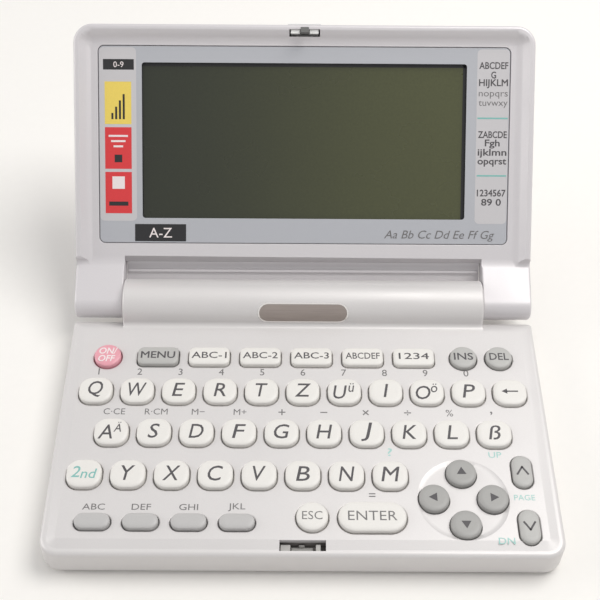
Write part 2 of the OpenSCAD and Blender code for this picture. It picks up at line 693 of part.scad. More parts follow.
// Points where lines from p meet the knuckle just short of touching it, above it for s = 1, below for s = -1
function touch(p, s) =
    let (r = knuckle_r - skin, a = atan2(p[1], p[0]) + s * acos(r / norm(p))) r * [cos(a), sin(a)];
module arm_profile() {
    front = [lid_start, bezel_n];
    back = [lip_start + heel_l, back_n];
    circle(knuckle_r);
    polygon([touch(front, 1), front, [lid_start + 2, bezel_n], [lid_start + 2, -lid_parting],
        [lid_start, -lid_parting], [lid_start, back_n], back, touch(back, -1)]);
}
module window_plan(grow) translate([0, panel_start + panel_l / 2])
    rounded(panel_w + 2 * grow, panel_l + 2 * grow, panel_r + grow);

// The lid shells start as plates that run on below their lower edge, and are cut there
plate_low = lid_start - 10;
module lid_plate(edge) translate([0, plate_low, 0]) edged_plate(lid_w, lid_l - plate_low, lid_corner_r, edge);
module lid_hollow(low, high) translate([0, (lid_start + lid_l) / 2, low]) linear_extrude(high - low)
    rounded(lid_w - 2 * lid_wall, lid_l - lid_start - 2 * lid_wall, lid_corner_r - lid_wall);

module lid_frame() color("lightgray") at_lid() {
    edge = concat([[0, -lid_parting]], quarter([rim_round, rim_n - rim_round], rim_round, 180, 90),
        [[rim_w, rim_n], [rim_slope_w, bezel_n]]);
    difference() {
        union() {
            difference() {
                lid_plate(edge);
                // The lower edge, with the ends of the rim sloping down to the bezel
                along_x(-lid_w, lid_w) polygon([
                    [plate_low - 1, -lid_parting - 1], [lid_start, -lid_parting - 1], [lid_start, bezel_n],
                    [lid_start + rim_w, rim_n], [lid_start + rim_w, rim_n + 1], [plate_low - 1, rim_n + 1]]);
            }
            both_sides() along_x(arm_in, lid_w / 2) arm_profile();
        }
        // Hollow behind the bezel, and the stepped window
        lid_hollow(-lid_parting - 1, bezel_back_n);
        translate([0, 0, panel_back_n]) linear_extrude(3) window_plan(panel_gap);
        translate([0, 0, bezel_back_n - 1]) linear_extrude(3) window_plan(-panel_ledge);
        // Slot of the hook, window of the latch's neck and pocket of its push tab
        box([-slot_half, slot_low, bezel_back_n - 1], [slot_half, lid_l - lid_wall, rim_n + 1]);
        box([-neck_half - latch_gap, slot_low, neck_low - latch_gap],
            [neck_half + latch_gap, lid_l + 1, neck_high + latch_gap]);
        box([-tab_w / 2 - latch_gap, lid_l - latch_travel, tab_low - latch_gap],
            [tab_w / 2 + latch_gap, lid_l + 1, tab_high + latch_gap]);
    }
    both_sides() translate([barrel_half - pin_l, 0, 0]) rotate([0, 90, 0])
        cylinder(r = pin_r, h = pin_l + arm_gap + 1);
}

module lid_cover() color("lightgray") at_lid() {
    edge = concat(quarter([cover_round, back_n + cover_round], cover_round, 270, 180), [[0, -lid_parting]]);
    lip_half = arm_in - 0.2;
    difference() {
        lid_plate(edge);
        // Hollow of the shell down to its lower wall
        lid_hollow(lid_floor_n, 1);
        // The lower lip between the arms, and the room of the arms
        box([-lid_w, plate_low - 1, back_n - 1], [lid_w, lip_start, 1]);
        box([-lid_w, plate_low - 1, lid_floor_n], [lid_w, lid_start - lip_step, 1]);
        both_sides() box([lip_half, plate_low - 1, back_n - 1], [lid_w, lid_start, 1]);
    }
}

module display_module() at_lid() {
    color("lightsteelblue") translate([0, 0, panel_back_n]) linear_extrude(panel_t) window_plan(0);
    color("darkolivegreen") translate([-lcd_w / 2, lcd_mid - lcd_l / 2, lcd_back_n])
        cube([lcd_w, lcd_l, lcd_t]);
    color("seagreen")
        translate([-lcd_w / 2 - driver_side, lcd_mid - lcd_l / 2 - driver_end, lcd_back_n - driver_t])
            cube([lcd_w + 2 * driver_side, lcd_l + 2 * driver_end, driver_t]);
}

module latch() color("white") at_lid() {
    // Carrier under the slot, with its two raised shoulders
    box([-latch_w / 2, hook_q - 0.2, neck_low], [latch_w / 2, hook_q + hook_t, neck_high]);
    both_sides() box([shoulder_in, hook_q - 0.2, neck_high - skin], [latch_w / 2, hook_q + hook_t, bezel_n]);
    // Hook
    box([-hook_w / 2, hook_q, neck_high - skin], [hook_w / 2, hook_q + hook_t, hook_n]);
    box([-hook_w / 2, hook_q, hook_n - nose_h], [hook_w / 2, hook_q + hook_t + nose_l, hook_n]);
    // Neck and push tab
    box([-neck_half, hook_q + hook_t - skin, neck_low], [neck_half, lid_l + latch_gap + skin, neck_high]);
    box([-tab_w / 2, lid_l + latch_gap, tab_low], [tab_w / 2, lid_l + latch_gap + tab_t, tab_high]);
}

bottom_case();
keyboard_case();
battery_door();
batteries();
circuit_board();
key_mat();
lid_frame();
lid_cover();
display_module();
latch();
for (k = KEYS) key(k);
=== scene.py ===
"""Pocket electronic dictionary: fine shapes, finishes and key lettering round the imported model."""

import json
import logging
import math
from collections.abc import Callable, Iterable, Sequence
from dataclasses import dataclass, field
from enum import Enum

import bmesh
import bpy
from mathutils import Matrix, Vector


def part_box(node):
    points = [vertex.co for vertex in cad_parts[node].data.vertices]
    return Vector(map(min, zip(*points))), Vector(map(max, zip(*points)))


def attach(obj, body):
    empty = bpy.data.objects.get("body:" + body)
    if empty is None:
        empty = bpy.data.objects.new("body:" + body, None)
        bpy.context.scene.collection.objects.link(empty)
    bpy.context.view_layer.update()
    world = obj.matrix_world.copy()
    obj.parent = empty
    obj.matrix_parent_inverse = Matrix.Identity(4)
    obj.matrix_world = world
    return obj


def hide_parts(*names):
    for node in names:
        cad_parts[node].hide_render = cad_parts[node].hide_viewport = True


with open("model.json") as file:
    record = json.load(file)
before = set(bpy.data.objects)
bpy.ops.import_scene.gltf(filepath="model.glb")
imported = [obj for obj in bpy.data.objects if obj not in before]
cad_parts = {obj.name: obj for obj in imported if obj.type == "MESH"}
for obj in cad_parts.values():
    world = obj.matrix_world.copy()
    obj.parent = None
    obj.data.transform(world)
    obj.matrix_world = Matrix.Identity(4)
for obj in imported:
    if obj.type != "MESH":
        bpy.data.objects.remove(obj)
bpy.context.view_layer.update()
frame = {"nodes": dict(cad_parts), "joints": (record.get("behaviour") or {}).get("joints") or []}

LOG = logging.getLogger("dictionary")
MM = 0.001
Colour = tuple[float, float, float]
Mesh = bmesh.types.BMesh


class Ink(Enum):
    """The printing inks on the keys, the deck and the display window."""

    DARK = "dark"
    GREY = "grey"
    TEAL = "teal"
    PALE_TEAL = "pale teal"
    WHITE = "white"
    BLACK = "black"
    YELLOW = "yellow"
    RED = "red"


@dataclass(frozen=True)
class Place:
    """A local frame of the dictionary, in which a piece is built in millimetres."""

    matrix: Matrix

    @classmethod
    def of(cls, origin: Vector, across: Vector, along: Vector) -> "Place":
        """A place from its origin in metres and its first two directions.

        Args:
            origin: Where the place's own origin lies in the row frame.
            across: Direction of the local X axis.
            along: Direction of the local Y axis.

        Returns:
            The place, scaled from millimetres to metres.
        """
        up = across.cross(along)
        turn = Matrix((across, along, up)).transposed().to_4x4()
        return cls(Matrix.Translation(origin) @ turn @ Matrix.Scale(MM, 4))

    def at(self, x: float, y: float, z: float = 0.0) -> "Place":
        """The same directions with the origin moved to a local point."""
        return Place(self.matrix @ Matrix.Translation((x, y, z)))


def joint(name: str) -> dict:
    """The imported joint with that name."""
    return next(j for j in frame["joints"] if j["name"] == name)


HINGE = Vector(joint("lid_hinge")["pos_m"])
LID_UP = -Vector(joint("latch_slide")["axis"]).normalized()
X_AXIS = Vector((1.0, 0.0, 0.0))
Y_AXIS = Vector((0.0, 1.0, 0.0))
FRONT_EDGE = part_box("keyboard_case")[0].y
ROW = Place(Matrix.Scale(MM, 4))
BASE = Place.of(Vector((0.0, FRONT_EDGE, 0.0)), X_AXIS, Y_AXIS)
LID = Place.of(HINGE, X_AXIS, LID_UP)
HINGE_Y = (HINGE.y - FRONT_EDGE) / MM
HINGE_Z = HINGE.z / MM
# The deck lies this far under the hinge axis.
DECK_Z = HINGE_Z - 0.2


def add_node(tree: bpy.types.NodeTree, kind: str, values: dict | None = None,
             **settings: object) -> bpy.types.Node:
    """Adds a node to a shader tree.

    Args:
        tree: The tree.
        kind: Type of the node, of which ShaderNode may be left off.
        values: Values of its inputs, by name or number.
        **settings: Its own settings, which are made first.

    Returns:
        The node.
    """
    node = tree.nodes.new(kind if kind.startswith("Node") else f"ShaderNode{kind}")
    for key, value in settings.items():
        setattr(node, key, value)
    for key, value in (values or {}).items():
        node.inputs[key].default_value = value
    return node


def wire(tree: bpy.types.NodeTree, *links: tuple) -> None:
    """Links nodes, each time an output of the first to an input of the second."""
    for source, output, target, entry in links:
        tree.links.new(source.outputs[output], target.inputs[entry])


@dataclass(frozen=True)
class Grain:
    """Fine surface relief of a moulded or painted part.

    Attributes:
        scale: Features per metre of the noise.
        height: Depth of the relief in metres.
        strength: Strength of the bump.
        stretch: Scale of the noise across the part, under 1 for brushed metal.
    """

    scale: float = 5200.0
    height: float = 0.00002
    strength: float = 0.25
    stretch: float = 1.0


def relief_group() -> bpy.types.NodeTree:
    """The shared surface relief: grain normal, a mask of fine mottling and one of faint smudges.

    Returns:
        A shader node group with Scale, Height, Strength and Stretch in, Normal, Mottle and Smudge out.
    """
    name = "surface relief"
    if name in bpy.data.node_groups:
        return bpy.data.node_groups[name]
    tree = bpy.data.node_groups.new(name, "ShaderNodeTree")
    for label, value in (("Scale", 5000.0), ("Height", 0.00002), ("Strength", 0.2), ("Stretch", 1.0)):
        socket = tree.interface.new_socket(label, in_out="INPUT", socket_type="NodeSocketFloat")
        socket.default_value = value
    for label, kind in (("Normal", "Vector"), ("Mottle", "Float"), ("Smudge", "Float")):
        tree.interface.new_socket(label, in_out="OUTPUT", socket_type=f"NodeSocket{kind}")
    entry = add_node(tree, "NodeGroupInput")
    leave = add_node(tree, "NodeGroupOutput")
    coords = add_node(tree, "TexCoord")
    fine = add_node(tree, "TexNoise", {"Detail": 2.0})
    wide = add_node(tree, "TexNoise", {"Scale": 45.0, "Detail": 4.0})
    bump = add_node(tree, "Bump")
    ratio = add_node(tree, "CombineXYZ", {"Y": 1.0, "Z": 1.0})
    drawn = add_node(tree, "VectorMath", operation="MULTIPLY")
    wire(tree, (entry, "Stretch", ratio, "X"), (coords, "Object", drawn, 0), (ratio, "Vector", drawn, 1),
         (drawn, "Vector", fine, "Vector"), (coords, "Object", wide, "Vector"),
         (entry, "Scale", fine, "Scale"), (fine, "Fac", bump, "Height"), (entry, "Height", bump, "Distance"),
         (entry, "Strength", bump, "Strength"), (bump, "Normal", leave, "Normal"),
         (fine, "Fac", leave, "Mottle"), (wide, "Fac", leave, "Smudge"))
    return tree


@dataclass(frozen=True)
class Finish:
    """A moulded, painted or printed finish with its own grain and mottling.

    Attributes:
        name: Name of the material.
        colour: Linear base colour.
        roughness: Middle roughness.
        metallic: Share of metal in the paint.
        coat: Weight of the clear coat.
        mottle: How far the colour varies with the grain, from 0 to 1.
        smudge: How far the roughness varies with handling.
        grain: The relief.
    """

    name: str
    colour: Colour
    roughness: float = 0.45
    metallic: float = 0.0
    coat: float = 0.0
    mottle: float = 0.04
    smudge: float = 0.06
    grain: Grain = field(default_factory=Grain)

    def material(self) -> bpy.types.Material:
        """The material, made at its first use.

        Returns:
            A node material with this finish.
        """
        if self.name in bpy.data.materials:
            return bpy.data.materials[self.name]
        made = bpy.data.materials.new(self.name)
        made.use_nodes = True
        tree = made.node_tree
        shader = tree.nodes["Principled BSDF"]
        shader.inputs["Metallic"].default_value = self.metallic
        shader.inputs["Coat Weight"].default_value = self.coat
        shader.inputs["Coat Roughness"].default_value = 0.12
        relief = add_node(tree, "Group", {"Scale": self.grain.scale, "Height": self.grain.height,
                                          "Strength": self.grain.strength, "Stretch": self.grain.stretch},
                          node_tree=relief_group())
        low, high = (tuple(c * (1.0 + s * self.mottle) for c in self.colour) for s in (-1.0, 1.0))
        tint = add_node(tree, "Mix", {6: (*low, 1.0), 7: (*high, 1.0)}, data_type="RGBA")
        wear = add_node(tree, "MapRange", {"From Min": 0.3, "From Max": 0.7,
                                           "To Min": self.roughness - self.smudge,
                                           "To Max": self.roughness + self.smudge})
        wire(tree, (relief, "Mottle", tint, 0), (relief, "Smudge", wear, "Value"),
             (tint, 2, shader, "Base Color"), (wear, "Result", shader, "Roughness"),
             (relief, "Normal", shader, "Normal"))
        return made


@dataclass(frozen=True)
class ScreenFinish(Finish):
    """The unlit liquid crystal: olive, greener and lighter to the right, with a fine dot grid.

    Attributes:
        right: Colour at the right side of the window.
        reach: Half the width over which the colours change, in metres.
        pitch: Pitch of the dots in metres.
        tilt: Tilt of the screen from the table, in degrees.
        tones: Grey levels of the two kinds of dots and of the lines between them.
    """

    right: Colour = (0.070, 0.076, 0.030)
    reach: float = 0.047
    pitch: float = 0.00036
    tilt: float = 45.5
    tones: Colour = (1.0, 0.97, 0.86)

    def material(self) -> bpy.types.Material:
        """The material, made at its first use.

        Returns:
            A node material with the gradient and the dot grid in its colour.
        """
        if self.name in bpy.data.materials:
            return bpy.data.materials[self.name]
        made = super().material()
        tree = made.node_tree
        shader = tree.nodes["Principled BSDF"]
        grain = shader.inputs["Base Color"].links[0].from_node
        coords = add_node(tree, "TexCoord")
        axes = add_node(tree, "SeparateXYZ")
        across = add_node(tree, "MapRange", {"From Min": -self.reach, "From Max": self.reach})
        ramp = add_node(tree, "ValToRGB")
        ramp.color_ramp.interpolation = "EASE"
        ramp.color_ramp.elements[0].color = (1.0, 1.0, 1.0, 1.0)
        ramp.color_ramp.elements[1].color = (*(b / a for a, b in zip(self.colour, self.right)), 1.0)
        turn = add_node(tree, "Mapping", {"Rotation": (-math.radians(self.tilt), 0.0, 0.0)})
        first, second, mortar = ((tone, tone, tone, 1.0) for tone in self.tones)
        grid = add_node(tree, "TexBrick", {"Scale": 1.0 / self.pitch, "Brick Width": 1.0, "Row Height": 1.0,
                                           "Mortar Size": 0.08, "Color1": first, "Color2": second,
                                           "Mortar": mortar}, offset=0.0)
        tones, dots = (add_node(tree, "Mix", {0: 1.0}, data_type="RGBA", blend_type="MULTIPLY")
                       for _ in range(2))
        wire(tree, (coords, "Object", axes, "Vector"), (axes, "X", across, "Value"),
             (across, "Result", ramp, "Fac"), (coords, "Object", turn, "Vector"),
             (turn, "Vector", grid, "Vector"), (grain, 2, tones, 6), (ramp, "Color", tones, 7),
             (tones, 2, dots, 6), (grid, "Color", dots, 7), (dots, 2, shader, "Base Color"))
        return made


class Paint:
    """The finishes of the dictionary."""

    KEY_GRAIN = Grain(2600.0, 0.00001, 0.15)
    CASE = Finish("silver case paint", (0.685, 0.665, 0.657), 0.4, metallic=0.22, mottle=0.05)
    # The lid has its own copy of the case's silver paint, a little darker and more lavender, as painted shade
    # for its tilt away from the light.
    LID = Finish("silver lid paint with painted shade", (0.66, 0.637, 0.65), 0.4, metallic=0.22, mottle=0.05)
    WHITE_KEY = Finish("ivory key", (0.805, 0.785, 0.745), 0.42, grain=KEY_GRAIN)
    GREY_KEY = Finish("grey key", (0.49, 0.485, 0.465), 0.42, grain=KEY_GRAIN)
    PILL_KEY = Finish("light grey key", (0.52, 0.51, 0.50), 0.42, grain=KEY_GRAIN)
    CURSOR_KEY = Finish("dark grey key", (0.38, 0.375, 0.36), 0.42, grain=KEY_GRAIN)
    PINK_KEY = Finish("pink key", (0.80, 0.36, 0.42), 0.38, coat=0.2, grain=KEY_GRAIN)
    PANEL = Finish("printed window", (0.465, 0.475, 0.505), 0.34, coat=0.3, mottle=0.02)
    STRIP = Finish("light window strip", (0.59, 0.575, 0.585), 0.34, coat=0.3, mottle=0.02)
    SCREEN = ScreenFinish("liquid crystal", (0.018, 0.022, 0.012), 0.3, mottle=0.16,
                          grain=Grain(1500.0, 0.000002, 0.1))
    # Black for the screen's seal, whose wide bands are painted shadow, and for the latch's well, where it is
    # painted shade.
    SEAL_AND_SHADE = Finish("black seal and painted shade", (0.008, 0.008, 0.010), 0.5)
    WELL = Finish("catch well", (0.30, 0.28, 0.27), 0.55)
    CATCH = Finish("catch plastic", (0.46, 0.45, 0.43), 0.5)
    LATCH = Finish("latch plastic", (0.92, 0.92, 0.90), 0.45)
    # Dark grey for the latch's hook, which is the latch's white plastic with painted shade.
    HOOK = Finish("hook plastic in painted shade", (0.16, 0.16, 0.155), 0.45)
    BADGE = Finish("brushed nickel", (0.33, 0.285, 0.262), 0.4, metallic=0.6, mottle=0.16,
                   grain=Grain(5200.0, 0.00002, 0.3, 0.02))
    BADGE_RIM = Finish("polished rim", (0.78, 0.76, 0.74), 0.2, metallic=0.9, mottle=0.02)
    STEEL = Finish("zinc steel", (0.50, 0.50, 0.51), 0.32, metallic=1.0, mottle=0.1)
    RUBBER = Finish("foot rubber", (0.035, 0.035, 0.038), 0.8, mottle=0.15)
    BOARD = Finish("solder mask", (0.01, 0.085, 0.03), 0.4, coat=0.3, mottle=0.1)
    MAT = Finish("key rubber", (0.27, 0.30, 0.28), 0.7, mottle=0.06)
    CELL = Finish("cell sleeve", (0.10, 0.105, 0.12), 0.3, metallic=0.6, mottle=0.05)
    TABLE = Finish("white table", (0.94, 0.92, 0.88), 0.9, mottle=0.01, grain=Grain(400.0, 0.00002, 0.1))


# Finish of each material slot of the CAD nodes.
SLOT_PAINT = {"case_shell": Paint.CASE, "lid_shell": Paint.LID, "white_key": Paint.WHITE_KEY,
              "grey_key": Paint.GREY_KEY, "power_key": Paint.PINK_KEY, "display_window": Paint.PANEL,
              "latch_plastic": Paint.LATCH, "board": Paint.BOARD, "key_rubber": Paint.MAT,
              "cell_jacket": Paint.CELL}

INK_COLOURS: dict[Ink, Colour] = {
    Ink.DARK: (0.075, 0.070, 0.075),
    Ink.GREY: (0.16, 0.155, 0.155),
    Ink.TEAL: (0.22, 0.50, 0.46),
    Ink.PALE_TEAL: (0.36, 0.62, 0.57),
    Ink.WHITE: (0.88, 0.80, 0.79),
    Ink.BLACK: (0.010, 0.010, 0.012),
    Ink.YELLOW: (0.86, 0.66, 0.13),
    Ink.RED: (0.70, 0.045, 0.050),
}


def ink_finish(ink: Ink) -> Finish:
    """The finish of a printing ink."""
    return Finish(f"{ink.value} ink", INK_COLOURS[ink], 0.5, mottle=0.06, grain=Grain(3000.0, 0.00001, 0.1))


def near(value: float, target: float, slack: float = 0.01) -> bool:
    """Says whether a value lies at its target, give or take the slack."""
    return abs(value - target) < slack


def new_object(name: str, data: bpy.types.ID) -> bpy.types.Object:
    """Makes an object in the scene.

    Args:
        name: Its name.
        data: Its mesh, lamp or camera.

    Returns:
        The object.
    """
    made = bpy.data.objects.new(name, data)
    bpy.context.scene.collection.objects.link(made)
    return made


def mesh_data(name: str, bm: Mesh) -> bpy.types.Mesh:
    """Turns a bmesh into mesh data.

    Args:
        name: Name of the data.
        bm: The bmesh, which is used up.

    Returns:
        The data.
    """
    data = bpy.data.meshes.new(name)
    bm.to_mesh(data)
    bm.free()
    return data


def merge(whole: Mesh, *parts: Mesh) -> Mesh:
    """Adds separate closed shapes to a mesh.

    Args:
        whole: The mesh.
        *parts: The shapes, which are used up.

    Returns:
        The mesh with all of them.
    """
    for part in parts:
        data = mesh_data("part", part)
        whole.from_mesh(data)
        bpy.data.meshes.remove(data)
    return whole


def shift(bm: Mesh, x: float, y: float, z: float) -> Mesh:
    """Moves a mesh and gives it back."""
    bmesh.ops.translate(bm, verts=bm.verts, vec=(x, y, z))
    return bm


def round_edges(bm: Mesh, edges: Iterable, offset: float, segments: int = 3, clamp: bool = True,
                slide: bool = True) -> None:
    """Rounds edges of a mesh.

    Args:
        bm: The mesh.
        edges: The edges to round.
        offset: Width of the rounding on each face.
        segments: Steps of the rounding.
        clamp: Whether roundings that would run into each other are made smaller.
        slide: Whether their ends slide along the edges beside them.
    """
    bmesh.ops.bevel(bm, geom=list(edges), offset=offset, offset_type="OFFSET", segments=segments,
                    profile=0.5, affect="EDGES", clamp_overlap=clamp, loop_slide=slide, material=-1)


def round_low(bm: Mesh, below: float, offset: float) -> None:
    """Rounds the edges that lie under a height."""
    round_edges(bm, [e for e in bm.edges if all(v.co.z < below for v in e.verts)], offset)


def round_corners(bm: Mesh, radius: float, steps: int) -> None:
    """Rounds the upright edges of a cuboid."""
    upright = [e for e in bm.edges if not near(e.verts[0].co.z, e.verts[1].co.z)]
    round_edges(bm, upright, radius, steps)


def brick(size: Sequence[float], centre: Sequence[float] = (0.0, 0.0, 0.0)) -> Mesh:
    """A closed cuboid.

    Args:
        size: Its size along the three axes, in millimetres.
        centre: Its middle.

    Returns:
        A new mesh.
    """
    bm = bmesh.new()
    bmesh.ops.create_cube(bm, size=1.0, matrix=Matrix.Translation(centre) @ Matrix.Diagonal((*size, 1.0)))
    return bm


def disc(radius: float, thick: float, sides: int) -> Mesh:
    """A closed disc or prism round the origin.

    Args:
        radius: Radius to its corners, in millimetres.
        thick: Its thickness.
        sides: Number of corners.

    Returns:
        A new mesh.
    """
    bm = bmesh.new()
    bmesh.ops.create_cone(bm, cap_ends=True, segments=sides, radius1=radius, radius2=radius, depth=thick)
    return bm


def plate(wide: float, high: float, thick: float, radius: float = 0.0, steps: int = 6) -> Mesh:
    """A flat plate with round corners, lying on Z = 0 round the origin.

    Args:
        wide: Width along X.
        high: Size along Y.
        thick: Thickness.
        radius: Corner radius.
        steps: Steps of each corner.

    Returns:
        A new mesh in millimetres.
    """
    bm = brick((wide, high, thick), (0.0, 0.0, thick / 2))
    if radius > 0.0:
        round_corners(bm, min(radius, min(wide, high) / 2 - 0.002), steps)
    return bm


def pierce(bm: Mesh, faces: Sequence[bmesh.types.BMFace]) -> None:
    """Turns two faces into the ends of an opening.

    Args:
        bm: The mesh.
        faces: The two faces, which lie opposite each other.
    """
    edges = [e for face in faces for e in face.edges]
    bmesh.ops.delete(bm, geom=list(faces), context="FACES_ONLY")
    bmesh.ops.bridge_loops(bm, edges=edges)
    bmesh.ops.recalc_face_normals(bm, faces=bm.faces)


def draw_in(bm: Mesh, face: bmesh.types.BMFace, inward: float, up: float = 0.0) -> None:
    """Draws a face inwards and lifts it, with a new ring of faces round it."""
    bmesh.ops.inset_individual(bm, faces=[face], thickness=inward, depth=up, use_even_offset=True)


def cut(bm: Mesh, tool: Mesh) -> Mesh:
    """Cuts one closed mesh out of another.

    Args:
        bm: The mesh that is cut, which is used up.
        tool: The mesh that is taken away, which is used up and doesn't overlap itself.

    Returns:
        A new mesh with the difference.
    """
    holders = [new_object("cut", mesh_data("cut", part)) for part in (bm, tool)]
    action = holders[0].modifiers.new("cut", "BOOLEAN")
    action.operation, action.solver, action.object = "DIFFERENCE", "EXACT", holders[1]
    result = bmesh.new()
    result.from_object(holders[0], bpy.context.evaluated_depsgraph_get())
    for holder in holders:
        data = holder.data
        bpy.data.objects.remove(holder)
        bpy.data.meshes.remove(data)
    return result


def make_piece(name: str, bm: Mesh, place: Place, body: str, finish: Finish,
               replaces: Sequence[str] = (), smooth: float = 35.0) -> bpy.types.Object:
    """Turns a finished mesh into a piece of the dictionary.

    Args:
        name: Name of the piece.
        bm: Its mesh, which is used up.
        place: The place that it was built in.
        body: The body that it rides on.
        finish: Its finish.
        replaces: CAD nodes that it stands for.
        smooth: Angle in degrees below which faces shade as one surface.

    Returns:
        The piece.
    """
    bm.transform(place.matrix)
    for face in bm.faces:
        face.smooth = True
    mesh = mesh_data(name, bm)
    mesh.set_sharp_from_angle(angle=math.radians(smooth))
    mesh.materials.append(finish.material())
    piece = new_object(name, mesh)
    piece.modifiers.new("area weighted normals", "WEIGHTED_NORMAL").keep_sharp = True
    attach(piece, body)
    if replaces:
        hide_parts(*replaces)
    LOG.info("%s: %d faces on %s", name, len(mesh.polygons), body)
    return piece


@dataclass
class Block:
    """A moulded block with slightly rounded edges.

    Attributes:
        low: Its lowest corner in millimetres.
        high: Its highest corner.
        edge: Rounding of its edges.
    """

    low: tuple[float, float, float]
    high: tuple[float, float, float]
    edge: float = 0.12

    def mesh(self) -> Mesh:
        """Makes the block.

        Returns:
            A new closed mesh.
        """
        low, high = Vector(self.low), Vector(self.high)
        bm = brick(high - low, (low + high) / 2)
        round_edges(bm, bm.edges[:], self.edge, 2)
        return bm


def mould(name: str, blocks: Sequence[Block], place: Place, body: str, finish: Finish,
          replaces: Sequence[str] = ()) -> None:
    """Makes a piece of one or more blocks."""
    make_piece(name, merge(bmesh.new(), *(b.mesh() for b in blocks)), place, body, finish, replaces)


def dress_nodes() -> None:
    """Gives each CAD node that still shows the finish of its material slot."""
    for node in frame["nodes"].values():
        for index, slot in enumerate(node.material_slots):
            finish = SLOT_PAINT.get(slot.material.name.split(".")[0])
            if finish:
                node.data.materials[index] = finish.material()


@dataclass(frozen=True)
class Lamp:
    """A soft square lamp.

    Attributes:
        name: Its name.
        place: Where it stands, in metres.
        size: Length of its side, in metres.
        power: Power in watts.
        colour: Colour of the light.
    """

    name: str
    place: tuple[float, float, float]
    size: float
    power: float
    colour: Colour

    def build(self, aim: Vector) -> None:
        """Makes the lamp.

        Args:
            aim: The point it shines at, in metres.
        """
        data = bpy.data.lights.new(self.name, "AREA")
        data.size, data.energy, data.color = self.size, self.power, self.colour
        lamp = new_object(self.name, data)
        lamp.location = self.place
        lamp.rotation_euler = (aim - Vector(self.place)).to_track_quat("-Z", "Y").to_euler()


@dataclass
class Studio:
    """Floor, soft light and the camera of the photograph.

    Attributes:
        focal_px: Focal length in pixels of the frame.
        frame_px: Width of the frame in pixels.
        position: Camera position in millimetres, from the front edge of the base and the table.
        pitch: Angle of the camera below the horizon, in degrees.
        yaw: Turn of the camera to the right, in degrees.
        roll: Clockwise roll of the camera, in degrees.
        surround: Colour and strength of the light from all round.
        front_share: Share of it that comes from behind the camera.
        front_rise: Height of that darker part over the horizon, in degrees.
        front_edge: Where the surround starts and ends to darken towards its middle, as cosines.
        backdrop: Colour of the surround that the camera and reflections see.
        floor_half: Half the side of the floor, in metres.
        aim: The point that the lamps shine at, in metres.
        lamps: The lamps.
    """

    focal_px: float = 1168.5
    frame_px: float = 600.0
    position: tuple[float, float, float] = (-1.85, -139.23, 273.15)
    pitch: float = 49.778
    yaw: float = 0.248
    roll: float = -0.514
    surround: Colour = (0.58, 0.58, 0.595)
    front_share: float = 0.6
    front_rise: float = 48.0
    front_edge: tuple[float, float] = (0.7, 0.95)
    backdrop: Colour = (0.87, 0.86, 0.85)
    floor_half: float = 4.0
    aim: tuple[float, float, float] = (0.0, 0.0, 0.02)
    lamps: tuple[Lamp, ...] = (Lamp("window light", (0.31, 0.09, 0.64), 0.42, 2.9, (1.0, 0.985, 0.96)),
                               Lamp("side light", (-0.75, 0.05, 0.32), 0.5, 1.6, (1.0, 0.99, 0.97)))

    def camera(self) -> None:
        """Makes the camera at the photograph's place."""
        pitch, yaw, roll = (math.radians(a) for a in (self.pitch, self.yaw, self.roll))
        forward = Vector((math.sin(yaw) * math.cos(pitch), math.cos(yaw) * math.cos(pitch), -math.sin(pitch)))
        right = Vector((math.cos(yaw), -math.sin(yaw), 0.0))
        down = forward.cross(right)
        turned = right * math.cos(roll) + down * math.sin(roll)
        up = right * math.sin(roll) - down * math.cos(roll)
        data = bpy.data.cameras.new("camera")
        data.sensor_width = 36.0
        data.lens = self.focal_px / self.frame_px * data.sensor_width
        data.clip_start = 0.01
        turn = Matrix((turned, up, -forward)).transposed().to_4x4()
        seat = new_object("camera", data)
        seat.matrix_world = Matrix.Translation(BASE.matrix @ Vector(self.position)) @ turn
        bpy.context.scene.camera = seat

    def floor(self) -> None:
        """Makes the pale floor."""
        bm = bmesh.new()
        bmesh.ops.create_grid(bm, x_segments=1, y_segments=1, size=self.floor_half)
        floor = new_object("floor", mesh_data("floor", bm))
        floor.data.materials.append(Paint.TABLE.material())

    def world(self) -> None:
        """A white surround, seen at full strength by the camera, metal and glass, and softer as light."""
        world = bpy.data.worlds.new("surround")
        bpy.context.scene.world = world
        world.use_nodes = True
        tree = world.node_tree
        soft = tree.nodes["Background"]
        soft.inputs["Strength"].default_value = 1.0
        coords = add_node(tree, "TexCoord")
        rise = math.radians(self.front_rise)
        toward = add_node(tree, "VectorMath", {1: (0.0, -math.cos(rise), math.sin(rise))},
                          operation="DOT_PRODUCT")
        shade = add_node(tree, "ValToRGB")
        for element, edge, share in zip(shade.color_ramp.elements, self.front_edge, (1.0, self.front_share)):
            element.position = edge
            element.color = (*(c * share for c in self.surround), 1.0)
        plain = add_node(tree, "Background", {"Color": (*self.backdrop, 1.0)})
        path = add_node(tree, "LightPath")
        mix = add_node(tree, "MixShader")
        wire(tree, (coords, "Generated", toward, 0), (toward, "Value", shade, "Fac"),
             (shade, "Color", soft, "Color"))
        shown, output = path, "Is Camera Ray"
        for kind in ("Is Glossy Ray", "Is Transmission Ray"):
            either = add_node(tree, "Math", operation="MAXIMUM")
            wire(tree, (shown, output, either, 0), (path, kind, either, 1))
            shown, output = either, 0
        wire(tree, (shown, output, mix, 0), (soft, 0, mix, 1), (plain, 0, mix, 2),
             (mix, 0, tree.nodes["World Output"], "Surface"))

    def build(self) -> None:
        """Makes the camera, the floor, the surround and the lamps."""
        self.camera()
        self.floor()
        self.world()
        for lamp in self.lamps:
            lamp.build(Vector(self.aim))
        bpy.context.scene.view_settings.view_transform = "Standard"


